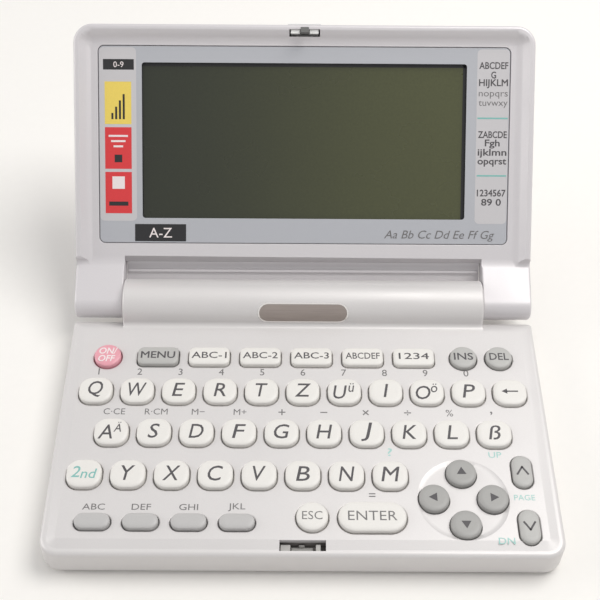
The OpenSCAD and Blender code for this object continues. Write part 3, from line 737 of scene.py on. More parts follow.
@dataclass
class KeyCap:
    """A key with its flange and rounded crown, built over its CAD node.

    Attributes:
        name: Name of the key without the word key.
        finish: Its finish.
        slot: Its material slot in the CAD model, not used.
        radius: Corner radius of its outline, in millimetres.
        flange: Width of the flange that holds it in.
        flange_t: Thickness of the flange.
        crown_w: Width of the rounded crown.
        crown_h: Height of the rounded crown.
        crown_steps: Steps of the rounded crown.
    """

    name: str
    finish: Finish
    slot: str
    radius: float
    flange: float = 0.65
    flange_t: float = 0.7
    crown_w: float = 1.45
    crown_h: float = 0.55
    crown_steps: int = 5

    def build(self) -> bpy.types.Object:
        """Makes the key.

        Returns:
            The piece that stands for the CAD key.
        """
        low, high = (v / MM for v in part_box(f"key_{self.name}"))
        size, centre = high - low, (low + high) / 2
        corner = self.radius + self.flange
        short = min(size.x, size.y)
        if short - 2 * corner < 0.01 and near(size.x, size.y):
            bm = disc(corner, self.flange_t, 40)
        else:
            bm = brick((size.x, size.y, self.flange_t))
            round_corners(bm, min(corner, short / 2 - 0.005), 8)
            bmesh.ops.remove_doubles(bm, verts=bm.verts, dist=0.02)
        shift(bm, 0.0, 0.0, low.z + self.flange_t / 2)
        top = max(bm.faces, key=lambda f: f.calc_center_median().z + f.calc_area() * 1e-6)
        self.raise_top(bm, top, self.flange, 0.0)
        self.raise_top(bm, top, 0.0, size.z - self.crown_h - self.flange_t)
        for i in range(self.crown_steps):
            a, b = (math.pi / 2 * (i + k) / self.crown_steps for k in (0, 1))
            self.raise_top(bm, top, self.crown_w * (math.cos(a) - math.cos(b)),
                           self.crown_h * (math.sin(b) - math.sin(a)))
        return make_piece(f"cap_{self.name}", bm, ROW.at(centre.x, centre.y), f"key_{self.name}", self.finish,
                          [f"key_{self.name}"], 42.0)

    def raise_top(self, bm: Mesh, top: bmesh.types.BMFace, inward: float, up: float) -> None:
        """Steps the top face inwards, by at least a hair, and upwards."""
        draw_in(bm, top, max(inward, 0.002), up)


LETTER_ROWS: tuple[tuple[str, ...], ...] = (
    ("q", "w", "e", "r", "t", "z", "u", "i", "o", "p", "delete"),
    ("a", "s", "d", "f", "g", "h", "j", "k", "l", "sharp_s"),
    ("second", "y", "x", "c", "v", "b", "n", "m"),
)


@dataclass
class Keyboard:
    """All fifty keys with their finishes.

    Attributes:
        power_r: Corner radius of the power key, in millimetres.
        letter_r: Corner radius of the letter keys.
        bar_r: Corner radius of the menu key and the function keys.
        round_r: Corner radius of the two round keys.
        soft_r: Corner radius of the soft keys.
        escape_r: Corner radius of the escape key.
        enter_r: Corner radius of the enter key.
        cursor_r: Corner radius of the cursor keys.
        page_r: Corner radius of the page keys.
    """

    power_r: float = 3.75
    letter_r: float = 3.4
    bar_r: float = 1.7
    round_r: float = 3.7
    soft_r: float = 2.2
    escape_r: float = 4.05
    enter_r: float = 4.2
    cursor_r: float = 3.95
    page_r: float = 2.6

    def build(self) -> None:
        """Makes every key."""
        white, grey = (Paint.WHITE_KEY, "white_key"), (Paint.GREY_KEY, "grey_key")
        pill, cursor = (Paint.PILL_KEY, "grey_key"), (Paint.CURSOR_KEY, "grey_key")
        groups = ((["power"], (Paint.PINK_KEY, "power_key"), self.power_r),
                  ([name for row in LETTER_ROWS for name in row], white, self.letter_r),
                  (["menu"], grey, self.bar_r),
                  ([f"function_{i}" for i in range(1, 6)], white, self.bar_r),
                  (["round_1", "round_2"], grey, self.round_r),
                  ([f"soft_{i}" for i in range(1, 5)], pill, self.soft_r),
                  (["escape"], white, self.escape_r),
                  (["enter"], white, self.enter_r),
                  (["up", "down", "left", "right"], cursor, self.cursor_r),
                  (["page_up", "page_down"], grey, self.page_r))
        for names, look, radius in groups:
            for name in names:
                KeyCap(name, *look, radius).build()


@dataclass(frozen=True)
class Words:
    """One printed word or mark.

    Attributes:
        text: The characters.
        x: Centre across, in millimetres in the place that it is printed on.
        y: Centre along.
        height: Height of its capitals.
        slant: Lean of italic characters.
        width: Stretch across, where 1 is the font's own width.
        weight: Growth of the strokes, negative for thin ones.
        span: Width that the whole takes up, in place of a stretch.
    """

    text: str
    x: float = 0.0
    y: float = 0.0
    height: float = 2.0
    slant: float = 0.0
    width: float = 1.0
    weight: float = 0.0
    span: float = 0.0


# Height of a capital as a share of the font's size.
CAP_SHARE = 0.729
# Thickness of a print, and how far it is sunk into its surface, in millimetres.
PRINT_T = 0.035
PRINT_SINK = 0.008


class Printing:
    """Printed words and marks of one ink, gathered into one thin raised piece."""

    def __init__(self, ink: Ink) -> None:
        """Starts an empty print.

        Args:
            ink: The ink that all of it is printed in.
        """
        self.ink = ink
        self.bm = bmesh.new()

    def add(self, part: Mesh, matrix: Matrix) -> None:
        """Adds a shape, which is used up, at a place."""
        part.transform(matrix)
        merge(self.bm, part)

    def write(self, *lines: Words) -> None:
        """Prints words, each centred on its own place.

        Args:
            *lines: The words.
        """
        for words in lines:
            bold = max(words.weight, 0.0)
            curve = bpy.data.curves.new("words", "FONT")
            curve.body, curve.shear = words.text, words.slant
            curve.size = words.height / CAP_SHARE
            curve.offset, curve.bevel_depth = min(words.weight, 0.0), bold
            curve.bevel_resolution, curve.resolution_u = 0, 3
            curve.extrude = PRINT_T / 2
            holder = bpy.data.objects.new("words", curve)
            mesh = bpy.data.meshes.new_from_object(holder)
            part = bmesh.new()
            part.from_mesh(mesh)
            bmesh.ops.remove_doubles(part, verts=part.verts, dist=0.0005)
            bpy.data.objects.remove(holder)
            bpy.data.curves.remove(curve)
            bpy.data.meshes.remove(mesh)
            xs, ys = [v.co.x for v in part.verts], [v.co.y for v in part.verts]
            middle = Vector(((min(xs) + max(xs)) / 2, (min(ys) + max(ys)) / 2, 0.0))
            move = Matrix.Translation((words.x, words.y, PRINT_T / 2))
            across = words.span / (max(xs) - min(xs)) if words.span else words.width
            size = Matrix.Diagonal((across, 1.0, PRINT_T / (PRINT_T + 2 * bold), 1.0))
            self.add(part, move @ size @ Matrix.Translation(-middle))

    def stroke(self, start: tuple[float, float], end: tuple[float, float], width: float) -> None:
        """Prints a straight stroke.

        Args:
            start: One end in millimetres.
            end: The other end.
            width: Width of the stroke.
        """
        line = Vector(end) - Vector(start)
        turn = Matrix.Rotation(math.atan2(line.y, line.x), 4, "Z")
        middle = (Vector(start) + Vector(end)) / 2
        overrun = 0.7 * width
        place = Matrix.Translation((*middle, PRINT_T / 2)) @ turn
        self.add(brick((line.length + overrun, width, PRINT_T)), place)

    def patch(self, x: float, y: float, wide: float, high: float, lift: float = 0.0) -> None:
        """Prints a filled rectangle.

        Args:
            x: Centre across.
            y: Centre along.
            wide: Width.
            high: Height.
            lift: Height above the printed surface.
        """
        self.add(plate(wide, high, PRINT_T), Matrix.Translation((x, y, lift)))

    def triangle(self, x: float, radius: float, turn: float) -> None:
        """Prints a filled triangle.

        Args:
            x: Centre across.
            radius: Radius to its corners.
            turn: Turn in degrees, where 0 points along.
        """
        spin = Matrix.Rotation(math.radians(turn), 4, "Z")
        self.add(disc(radius, PRINT_T, 3), Matrix.Translation((x, 0.0, PRINT_T / 2)) @ spin)

    def lay(self, name: str, place: Place, body: str) -> None:
        """Lays the print as a named piece on a place of a body."""
        make_piece(name, self.bm, place.at(0.0, 0.0, -PRINT_SINK), body, ink_finish(self.ink))


LETTER_TEXT: dict[str, str] = {"sharp_s": "ß"}
LETTER_H = 4.7
# Stretch across of each letter.
LETTER_WIDTH: dict[str, float] = {
    "w": 0.75, "q": 0.84, "o": 0.86, "n": 0.85, "x": 0.85, "t": 0.87, "d": 0.87, "v": 0.87, "u": 0.88,
    "a": 0.88, "c": 0.91, "y": 0.91, "z": 0.93, "g": 0.96, "k": 0.95, "h": 0.95, "r": 0.96, "e": 1.03,
    "l": 1.03, "p": 1.08, "b": 1.1, "sharp_s": 1.1, "f": 1.15, "j": 1.25}
SLANT = 0.17
# The small second letters, and how far the large ones step aside for them.
UMLAUTS: dict[str, Words] = {
    "a": Words("Ä", 1.7, 1.2, 2.7, SLANT, 0.8, 0.01),
    "o": Words("ö", 1.9, 0.95, 3.4, SLANT, 0.8, 0.01),
    "u": Words("ü", 1.9, 0.95, 3.4, SLANT, 0.8, 0.01)}
ASIDE = (-3.1, -1.55)
# Text of the function keys and the width it takes up.
FUNCTION_TEXT = (("ABC-1", 9.8), ("ABC-2", 9.8), ("ABC-3", 9.8), ("ABCDEF", 9.6), ("1234", 8.5))
# Words on the other keys, and their inks where these aren't dark.
KEY_WORDS: dict[str, tuple[Words, ...]] = {
    "second": (Words("2", -2.1, 0.25, 3.5, SLANT, 1.0, 0.02), Words("nd", 1.3, -0.25, 3.0, SLANT, 1.0, 0.02)),
    "power": (Words("ON/", 0.15, 1.3, 2.2, SLANT, 0.88, 0.05),
              Words("OFF", -0.1, -1.35, 2.2, SLANT, 0.88, 0.05)),
    "menu": (Words("MENU", height=2.4, weight=0.05, span=9.6),),
    **{f"function_{i}": (Words(text, height=2.25, weight=0.02, span=span),)
       for i, (text, span) in enumerate(FUNCTION_TEXT, start=1)},
    "round_1": (Words("INS", height=2.5, weight=0.04, span=5.4),),
    "round_2": (Words("DEL", height=2.5, weight=0.04, span=5.4),),
    "escape": (Words("ESC", height=2.5, width=0.98, weight=-0.02),),
    "enter": (Words("ENTER", height=2.9, width=1.08, weight=-0.02),)}
KEY_INKS: dict[str, Ink] = {"second": Ink.TEAL, "power": Ink.WHITE, "escape": Ink.GREY, "enter": Ink.GREY}
CALCULATOR_MARKS = ("C·CE", "R·CM", "M−", "M+", "+", "−", "×", "÷", "%", "’")


@dataclass
class Legends:
    """The printing on the key tops and on the deck round them.

    Attributes:
        bold: Growth of the letters' strokes, in millimetres.
        digit_y: Place of the digits from the front edge.
        calculator_y: Place of the calculator marks.
        soft_y: Place of the words over the soft keys.
        soft_x: Places of these words across.
    """

    bold: float = 0.02
    digit_y: float = 56.35
    calculator_y: float = 42.85
    soft_y: float = 13.3
    soft_x: tuple[float, ...] = (-53.5, -41.3, -29.2, -16.9)

    def lay(self, name: str, printing: Printing) -> None:
        """Lays a print on a key top.

        Args:
            name: Name of the key.
            printing: The print, drawn round the key's centre.
        """
        low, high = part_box(f"key_{name}")
        top = ROW.at((low.x + high.x) / 2 / MM, (low.y + high.y) / 2 / MM, high.z / MM)
        printing.lay(f"legend_{name}", top, f"key_{name}")

    def words(self) -> None:
        """Prints the keys that hold letters or words."""
        texts = {}
        for name in (n for row in LETTER_ROWS for n in row if n not in ("delete", "second")):
            small = (UMLAUTS[name],) if name in UMLAUTS else ()
            x, y = (small[0].x + ASIDE[0], small[0].y + ASIDE[1]) if small else (0.0, 0.0)
            text, width = LETTER_TEXT.get(name, name.upper()), LETTER_WIDTH.get(name, 1.0)
            texts[name] = (Words(text, x, y, LETTER_H, SLANT, width, self.bold), *small)
        for name, lines in {**texts, **KEY_WORDS}.items():
            printing = Printing(KEY_INKS.get(name, Ink.DARK))
            printing.write(*lines)
            self.lay(name, printing)

    def signs(self) -> None:
        """Prints the arrow of the delete key, the cursor triangles and the page chevrons."""
        arrow = Printing(Ink.DARK)
        arrow.stroke((-0.9, 0.0), (2.0, 0.0), 0.42)
        arrow.triangle(-1.35, 1.0, 90.0)
        self.lay("delete", arrow)
        for name, turn in (("up", 0.0), ("down", -180.0), ("left", 90.0), ("right", -90.0)):
            triangle = Printing(Ink.DARK)
            triangle.triangle(0.0, 1.45, turn)
            self.lay(name, triangle)
        for name, way in (("page_up", 1.0), ("page_down", -1.0)):
            chevron = Printing(Ink.DARK)
            for side in (-1.0, 1.0):
                chevron.stroke((0.0, way * 1.15), (side * 1.4, -way * 1.05), 0.5)
            self.lay(name, chevron)

    def deck(self) -> None:
        """Prints the legends beside the keys."""
        centre = {n: (sum(v.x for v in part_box(f"key_{n}")) / 2 / MM) for row in LETTER_ROWS for n in row}
        grey, teal = Printing(Ink.GREY), Printing(Ink.PALE_TEAL)
        for i, name in enumerate(LETTER_ROWS[0][:10]):
            grey.write(Words(str((i + 1) % 10), centre[name], self.digit_y, 2.3))
        for text, name in zip(CALCULATOR_MARKS, LETTER_ROWS[1]):
            tall = {"%": 2.3, "’": 3.2}.get(text, 2.05 if len(text) > 1 else 3.0)
            weight = 0.03 if tall > 3.0 else -0.01
            grey.write(Words(text, centre[name], self.calculator_y, tall, weight=weight))
        for text, x in zip(("ABC", "DEF", "GHI", "JKL"), self.soft_x):
            grey.write(Words(text, x, self.soft_y, 1.85, width=1.2))
        grey.write(Words("=", 17.9, 17.1, 2.6))
        teal.write(Words("?", 23.1, 30.2, 2.5, width=1.7), Words("UP", 50.9, 29.5, 1.9, width=1.15),
                   Words("PAGE", 57.2, 16.6, 1.7), Words("DN", 51.3, 4.1, 1.9, width=1.15))
        grey.lay("deck_legends", BASE.at(0.0, 0.0, DECK_Z), "base")
        teal.lay("deck_second_legends", BASE.at(0.0, 0.0, DECK_Z), "base")

    def build(self) -> None:
        """Prints every legend."""
        self.words()
        self.signs()
        self.deck()


# Pieces of print round the screen and their inks.
WINDOW_PRINTS = {"label_black": Ink.BLACK, "label_white": Ink.WHITE, "field_yellow": Ink.YELLOW,
                 "field_red": Ink.RED, "strip_text": Ink.DARK, "window_text": Ink.GREY,
                 "strip_rules": Ink.TEAL}
# Lines of the right strip: text, height over the hinge and ink.
STRIP_LINES = (("ABCDEF", 69.7, Ink.DARK), ("G", 67.0, Ink.DARK), ("HIJKLM", 64.5, Ink.DARK),
               ("nopqrs", 61.2, Ink.GREY), ("tuvwxy", 58.6, Ink.GREY), ("ZABCDE", 49.9, Ink.DARK),
               ("Fgh", 47.2, Ink.DARK), ("ijklmn", 44.5, Ink.DARK), ("opqrst", 41.8, Ink.DARK),
               ("1234567", 33.0, Ink.DARK), ("89 0", 30.3, Ink.DARK))
LINE_WEIGHT = {Ink.DARK: 0.05, Ink.GREY: -0.01}
# Middle of the coloured fields across, and the height of the marks on them.
FIELD_X = -53.95
ON_FIELD = 0.015
# Rectangles round the screen: ink, centre, width, height and lift.
WINDOW_PATCHES = (
    (Ink.BLACK, -53.75, 69.4, 8.9, 3.0, 0.0), (Ink.BLACK, -41.8, 20.9, 14.9, 5.0, 0.0),
    (Ink.YELLOW, FIELD_X, 58.4, 7.7, 12.2, 0.0),
    (Ink.RED, FIELD_X, 45.4, 7.7, 12.0, 0.0), (Ink.RED, FIELD_X, 32.5, 7.7, 12.0, 0.0),
    *((Ink.BLACK, -55.6 + 1.1 * i, 54.6 + 0.9 * i, 0.6, 1.8 * (i + 1), ON_FIELD) for i in range(4)),
    *((Ink.WHITE, FIELD_X, 48.9 - 1.5 * i, 5.6 - 1.4 * i, 0.55, ON_FIELD) for i in range(3)),
    (Ink.BLACK, FIELD_X, 42.4, 2.2, 2.2, ON_FIELD), (Ink.WHITE, FIELD_X, 35.4, 3.6, 3.6, ON_FIELD),
    (Ink.BLACK, FIELD_X, 29.3, 5.6, 1.2, ON_FIELD),
    (Ink.TEAL, 54.7, 54.6, 8.8, 0.45, 0.0), (Ink.TEAL, 54.7, 38.0, 8.6, 0.45, 0.0))


@dataclass
class Display:
    """Printed window panel, liquid crystal and its seal with a painted shadow band, with the prints round it.

    Sizes are in millimetres in the lid's place: X across, Y up from the hinge, Z out of the bezel.

    Attributes:
        wide: Width of the panel.
        low: Its lower edge.
        high: Its upper edge.
        face: Its front.
        thick: Its thickness.
        corner: Its corner radius.
        edge: Rounding of its front edge.
        window_x: Half the width of the window.
        window_low: Lower edge of the window.
        window_high: Upper edge of the window.
        window_r: Corner radius of the window.
        screen_depth: How far the screen lies behind the panel's front.
        glass_t: Thickness of the screen's glass.
        glass_r: Corner radius of the glass.
        overlap: How far the glass reaches behind the panel on each side.
        seal_t: Thickness of the seal.
        seal_and_shadow_x: How far the black seal shows at the right and the left, wider at the right as
            painted shadow of the window's edge.
        seal_and_shadow_y: How far it shows at the top and the bottom, wider at the top as painted shadow of
            the window's edge.
    """

    wide: float = 119.0
    low: float = 18.0
    high: float = 74.7
    face: float = -1.6
    thick: float = 1.0
    corner: float = 1.6
    edge: float = 0.18
    window_x: float = 47.2
    window_low: float = 25.0
    window_high: float = 70.2
    window_r: float = 1.0
    screen_depth: float = 1.15
    glass_t: float = 1.7
    glass_r: float = 0.6
    overlap: float = 2.5
    seal_t: float = 0.12
    # The seal shows wider at the top and the right, where it paints the shadow that the window's edge casts
    # on the screen.
    seal_and_shadow_x: tuple[float, float] = (1.15, 0.35)
    seal_and_shadow_y: tuple[float, float] = (1.1, 0.1)

    def window_ring(self, bm: Mesh, top: bmesh.types.BMFace) -> None:
        """Draws a face in to the outline of the window.

        Args:
            bm: The panel's mesh.
            top: The face, which becomes the window.
        """
        reach = self.corner - self.window_r
        draw_in(bm, top, reach)
        for vert in top.verts:
            vert.co.x -= math.copysign(self.wide / 2 - reach - self.window_x, vert.co.x)
            if vert.co.y > (self.low + self.high) / 2:
                vert.co.y += self.window_high - (self.high - reach)
            else:
                vert.co.y += self.window_low - (self.low + reach)

    def panel(self) -> None:
        """Makes the printed panel with its window opening."""
        bm = plate(self.wide, self.high - self.low, self.thick, self.corner, 8)
        shift(bm, 0.0, (self.low + self.high) / 2, self.face - self.thick)
        front = max((f for f in bm.faces if abs(f.normal.z) > 0.9), key=lambda f: f.calc_center_median().z)
        round_edges(bm, front.edges, self.edge, 2, slide=False)
        bm.normal_update()
        flats = sorted((f for f in bm.faces if abs(f.normal.z) > 0.99 and f.calc_area() > 100.0),
                       key=lambda f: f.calc_center_median().z)
        ends = (flats[0], flats[-1])
        for face in ends:
            self.window_ring(bm, face)
        pierce(bm, ends)
        make_piece("window_panel", bm, LID, "lid", Paint.PANEL, ["display_module"])

    def screen(self) -> None:
        """Makes the liquid crystal, its black seal with a painted shadow band at the top and the right, and
        the driver board behind.
        """
        middle = (self.window_low + self.window_high) / 2
        wide = 2 * (self.window_x + self.overlap)
        high = self.window_high - self.window_low + 2 * self.overlap
        front = LID.at(0.0, middle, self.face - self.screen_depth)
        glass = plate(wide, high, self.glass_t, self.glass_r, 3)
        make_piece("liquid_crystal", glass, front.at(0.0, 0.0, -self.glass_t), "lid", Paint.SCREEN)
        # A black seal, wider at the top and the right as painted shadow of the window's edge.
        seal = plate(wide, high, self.seal_t, self.glass_r, 3)
        flats = [f for f in seal.faces if abs(f.normal.z) > 0.99]
        for face in flats:
            draw_in(seal, face, self.overlap)
            for vert in face.verts:
                vert.co.x -= self.seal_and_shadow_x[0] if vert.co.x > 0.0 else -self.seal_and_shadow_x[1]
                vert.co.y -= self.seal_and_shadow_y[0] if vert.co.y > 0.0 else -self.seal_and_shadow_y[1]
        pierce(seal, flats)
        make_piece("screen_seal_and_shadow", seal, front, "lid", Paint.SEAL_AND_SHADE)
        board = plate(104.0, 52.0, 0.8, 0.8, 3)
        make_piece("driver_board", board, LID.at(0.0, 47.2, -5.25), "lid", Paint.BOARD)

    def strips(self) -> None:
        """Prints the light fields at both sides of the window."""
        for name, x, wide, low, high in (("strip_left", -54.0, 10.7, 24.3, 74.3),
                                         ("strip_right", 54.65, 9.3, 24.0, 74.3)):
            place = LID.at(x, (low + high) / 2, self.face - 0.01)
            make_piece(name, plate(wide, high - low, PRINT_T, 1.3, 5), place, "lid", Paint.STRIP)

    def prints(self) -> None:
        """Prints the labels, the coloured fields and the lines of characters."""
        prints = {ink: Printing(ink) for ink in WINDOW_PRINTS.values()}
        prints[Ink.WHITE].write(Words("0-9", -53.75, 69.4, 1.7), Words("A-Z", -41.8, 20.9, 3.0))
        for ink, *patch in WINDOW_PATCHES:
            prints[ink].patch(*patch)
        for text, y, ink in STRIP_LINES:
            span = min(8.4, 1.45 * len(text))
            prints[ink].write(Words(text, 54.75, y, 2.0, weight=LINE_WEIGHT[ink], span=span))
        prints[Ink.GREY].write(Words("Aa Bb Cc Dd Ee Ff Gg", 39.75, 20.4, 2.5, 0.28, weight=-0.01, span=32.3))
        for name, ink in WINDOW_PRINTS.items():
            lift = 0.045 if ink is Ink.WHITE else 0.025
            prints[ink].lay(name, LID.at(0.0, 0.0, self.face + lift), "lid")

    def build(self) -> None:
        """Makes the display."""
        self.panel()
        self.screen()
        self.strips()
        self.prints()


@dataclass(frozen=True)
class Soften:
    """One kind of edge of a shell that is rounded.

    Attributes:
        test: Says whether the middle of an edge, in millimetres in the place used, is of this kind.
        offset: Size of the rounding in millimetres.
        segments: Steps of the rounding.
        angle: Least angle of the edges, in degrees.
    """

    test: Callable[[Vector], bool]
    offset: float
    segments: int = 2
    angle: float = 60.0


@dataclass
class Shells:
    """The case shells, copied from the solids with their moulded edges rounded.

    Attributes:
        barrel_end: Half the length of the hinge barrel, in millimetres.
        barrel_foot: Where the barrel starts to rise, from the front edge.
        pin_r: Radius that clears the bearing of a hinge pin.
        arm_in: Inner side of the lid's arms, from the middle.
        arm_out: Outer side of the arms.
        arm_top: Upper end of the arms' free part, from the hinge.
        bezel: Height of the bezel's raised rim in the lid's place.
        dish: Middle of the dish round the cursor keys.
        dish_r: Radius of its rim.
        corner: Middle of the right front corner.
        border: Inner and outer edge of the sloped border, as radii at that corner.
        border_drop: How far the border slopes down.
        fuse: Distance in millimetres within which points of a solid are one.
        rib: The rib behind the barrel.
    """

    barrel_end: float = 52.0
    barrel_foot: float = 72.6
    pin_r: float = 7.0
    arm_in: float = 52.3
    arm_out: float = 66.4
    arm_top: float = 11.0
    bezel: float = -1.5
    dish: tuple[float, float] = (41.4, 16.0)
    dish_r: float = 11.88
    corner: tuple[float, float] = (61.3, 5.2)
    border: tuple[float, float] = (1.0, 3.4)
    border_drop: float = 0.85
    fuse: float = 0.002
    rib: Block = field(default_factory=lambda: Block((-51.6, 9.2, -5.9), (51.6, 10.0, -4.7), 0.15))

    def copy(self, node: str) -> Mesh:
        """A closed copy of a CAD node's mesh, with its flat faces joined up.

        Args:
            node: Name of the node.

        Returns:
            The copy, in metres in the row frame.
        """
        bm = bmesh.new()
        bm.from_mesh(frame["nodes"][node].data)
        bmesh.ops.remove_doubles(bm, verts=bm.verts, dist=self.fuse * MM)
        bmesh.ops.dissolve_degenerate(bm, dist=self.fuse * MM, edges=bm.edges)
        bmesh.ops.dissolve_limit(bm, angle_limit=math.radians(0.5), verts=bm.verts, edges=bm.edges)
        return bm

    def soften(self, node: str, body: str, finish: Finish, place: Place,
               kinds: Sequence[Soften], smooth: float = 35.0) -> bpy.types.Object:
        """Makes a shell from its CAD node with rounded edges.

        Args:
            node: Name of the node.
            body: The body that it rides on.
            finish: Its finish.
            place: The place whose millimetres the tests use.
            kinds: The edges to round.
            smooth: Angle in degrees below which faces shade as one surface.

        Returns:
            The piece that stands for the node.
        """
        bm = self.copy(node)
        bm.transform(place.matrix.inverted())
        for kind in kinds:
            bm.normal_update()
            least = math.radians(kind.angle)
            edges = [e for e in bm.edges if len(e.link_faces) == 2 and e.calc_face_angle(0.0) > least
                     and kind.test((e.verts[0].co + e.verts[1].co) / 2)]
            LOG.info("%s: %d edges rounded by %.2f", node, len(edges), kind.offset)
            round_edges(bm, edges, kind.offset, kind.segments, clamp=False)
        return make_piece(f"{node}_shell", bm, place, body, finish, [node], smooth)

    def on_crease(self, middle: Vector) -> bool:
        """Says whether an edge is one of the soft-angled edges that show on the deck.

        Args:
            middle: The middle of the edge, in millimetres from the front edge of the base.

        Returns:
            True on the rim of the cursor dish and on both edges of the sloped border.
        """
        dish = math.hypot(middle.x - self.dish[0], middle.y - self.dish[1])
        out = math.hypot(max(abs(middle.x) - self.corner[0], 0.0), max(self.corner[1] - middle.y, 0.0))
        if near(middle.z, DECK_Z, 0.02):
            return near(dish, self.dish_r, 0.05) or near(out, self.border[0], 0.02)
        return near(middle.z, DECK_Z - self.border_drop, 0.02) and near(out, self.border[1], 0.02)

    def base(self) -> None:
        """Makes the keyboard case, with the edges of its keyholes and of the barrel's ends rounded."""
        case = self.soften("keyboard_case", "base", Paint.CASE, BASE, (
            Soften(lambda m: near(m.z, DECK_Z) and m.y < 66.0, 0.28),
            Soften(lambda m: near(abs(m.x), self.barrel_end) and m.z > DECK_Z and m.y > self.barrel_foot
                   and math.hypot(m.y - HINGE_Y, m.z - HINGE_Z) > self.pin_r, 0.7, 3)))
        points = [BASE.matrix.inverted() @ v.co for v in case.data.vertices]
        for edge in case.data.edges:
            if self.on_crease((points[edge.vertices[0]] + points[edge.vertices[1]]) / 2):
                edge.use_edge_sharp = True

    def lid(self) -> None:
        """Makes the lid frame, with its rim, its panel opening and its arms rounded."""
        def rim(m: Vector) -> bool:
            """The outer edge of the rim and the step over the barrel."""
            outer = m.y > 13.0 and (abs(m.x) > 61.5 or m.y > 76.0)
            return near(m.z, self.bezel, 0.05) and (outer or near(m.y, 12.4, 0.05) and abs(m.x) > 52.0)

        self.soften("lid_frame", "lid", Paint.LID, LID, (
            Soften(rim, 1.3, 5, 20.0),
            Soften(lambda m: near(m.z, self.bezel, 0.05) and 17.0 < m.y < 75.5 and abs(m.x) < 60.5, 0.14),
            Soften(lambda m: near(abs(m.x), self.arm_out) and m.y < self.arm_top, 1.0, 3, 40.0),
            Soften(lambda m: near(abs(m.x), self.arm_in) and m.y < self.arm_top
                   and math.hypot(m.y, m.z) > 3.0, 0.5, 3, 40.0)), 24.0)

    def build(self) -> None:
        """Makes the shells and the rib behind the barrel."""
        self.base()
        self.lid()
        mould("cover_rib", [self.rib], LID, "lid", Paint.LID)


@dataclass
class Badge:
    """The bare metal plate that is bent round the hinge barrel.

    Attributes:
        wide: Width of the plate in millimetres.
        barrel_r: Radius of the barrel.
        top: Angle of its upper edge from straight up, in degrees.
        bottom: Angle of its lower edge.
        rim: Width of the polished rim.
        lap: How far the plate reaches under the rim.
        proud: How far the rim stands out of the barrel.
        recess: How far the plate lies under the rim's top.
        root: How far both reach into the barrel.
        strips: Number of strips along the barrel that the bend is made of.
    """

    wide: float = 26.0
    barrel_r: float = 7.4
    top: float = 35.5
    bottom: float = 81.5
    rim: float = 0.38
    lap: float = 0.02
    proud: float = 0.14
    recess: float = 0.13
    root: float = 0.5
    strips: int = 8

    def bent(self, bm: Mesh) -> Mesh:
        """Bends a flat mesh round the barrel.

        Args:
            bm: A mesh that lies flat round the origin.

        Returns:
            The same mesh, rooted in the barrel.
        """
        middle = math.radians((self.top + self.bottom) / 2)
        for vert in bm.verts:
            angle = middle - vert.co.y / self.barrel_r
            radius = self.barrel_r - self.root + vert.co.z
            y, z = HINGE_Y - radius * math.sin(angle), HINGE_Z + radius * math.cos(angle)
            vert.co = Vector((vert.co.x, y, z))
        return bm

    def flat(self, shrink: float, thick: float) -> Mesh:
        """Makes the flat plate with round ends, cut fine enough to be bent.

        Args:
            shrink: How much smaller it is than the whole badge on each side.
            thick: Its thickness.

        Returns:
            A new mesh.
        """
        high = math.radians(self.bottom - self.top) * self.barrel_r
        bm = plate(self.wide - 2 * shrink, high - 2 * shrink, thick, (high - 2 * shrink) / 2, 10)
        for i in range(1, self.strips):
            point = (0.0, (i / self.strips - 0.5) * high, 0.0)
            bmesh.ops.bisect_plane(bm, geom=bm.verts[:] + bm.edges[:] + bm.faces[:], dist=0.0001,
                                   plane_co=point, plane_no=Y_AXIS)
        return bm

    def build(self) -> None:
        """Makes the plate and its rim."""
        hollow = shift(self.flat(self.rim, self.proud + 3 * self.root), 0.0, 0.0, -self.root)
        rim = self.bent(cut(self.flat(0.0, self.proud + self.root), hollow))
        make_piece("badge_rim", rim, BASE, "base", Paint.BADGE_RIM)
        face = self.bent(self.flat(self.rim - self.lap, self.root + self.proud - self.recess))
        make_piece("badge_plate", face, BASE, "base", Paint.BADGE)


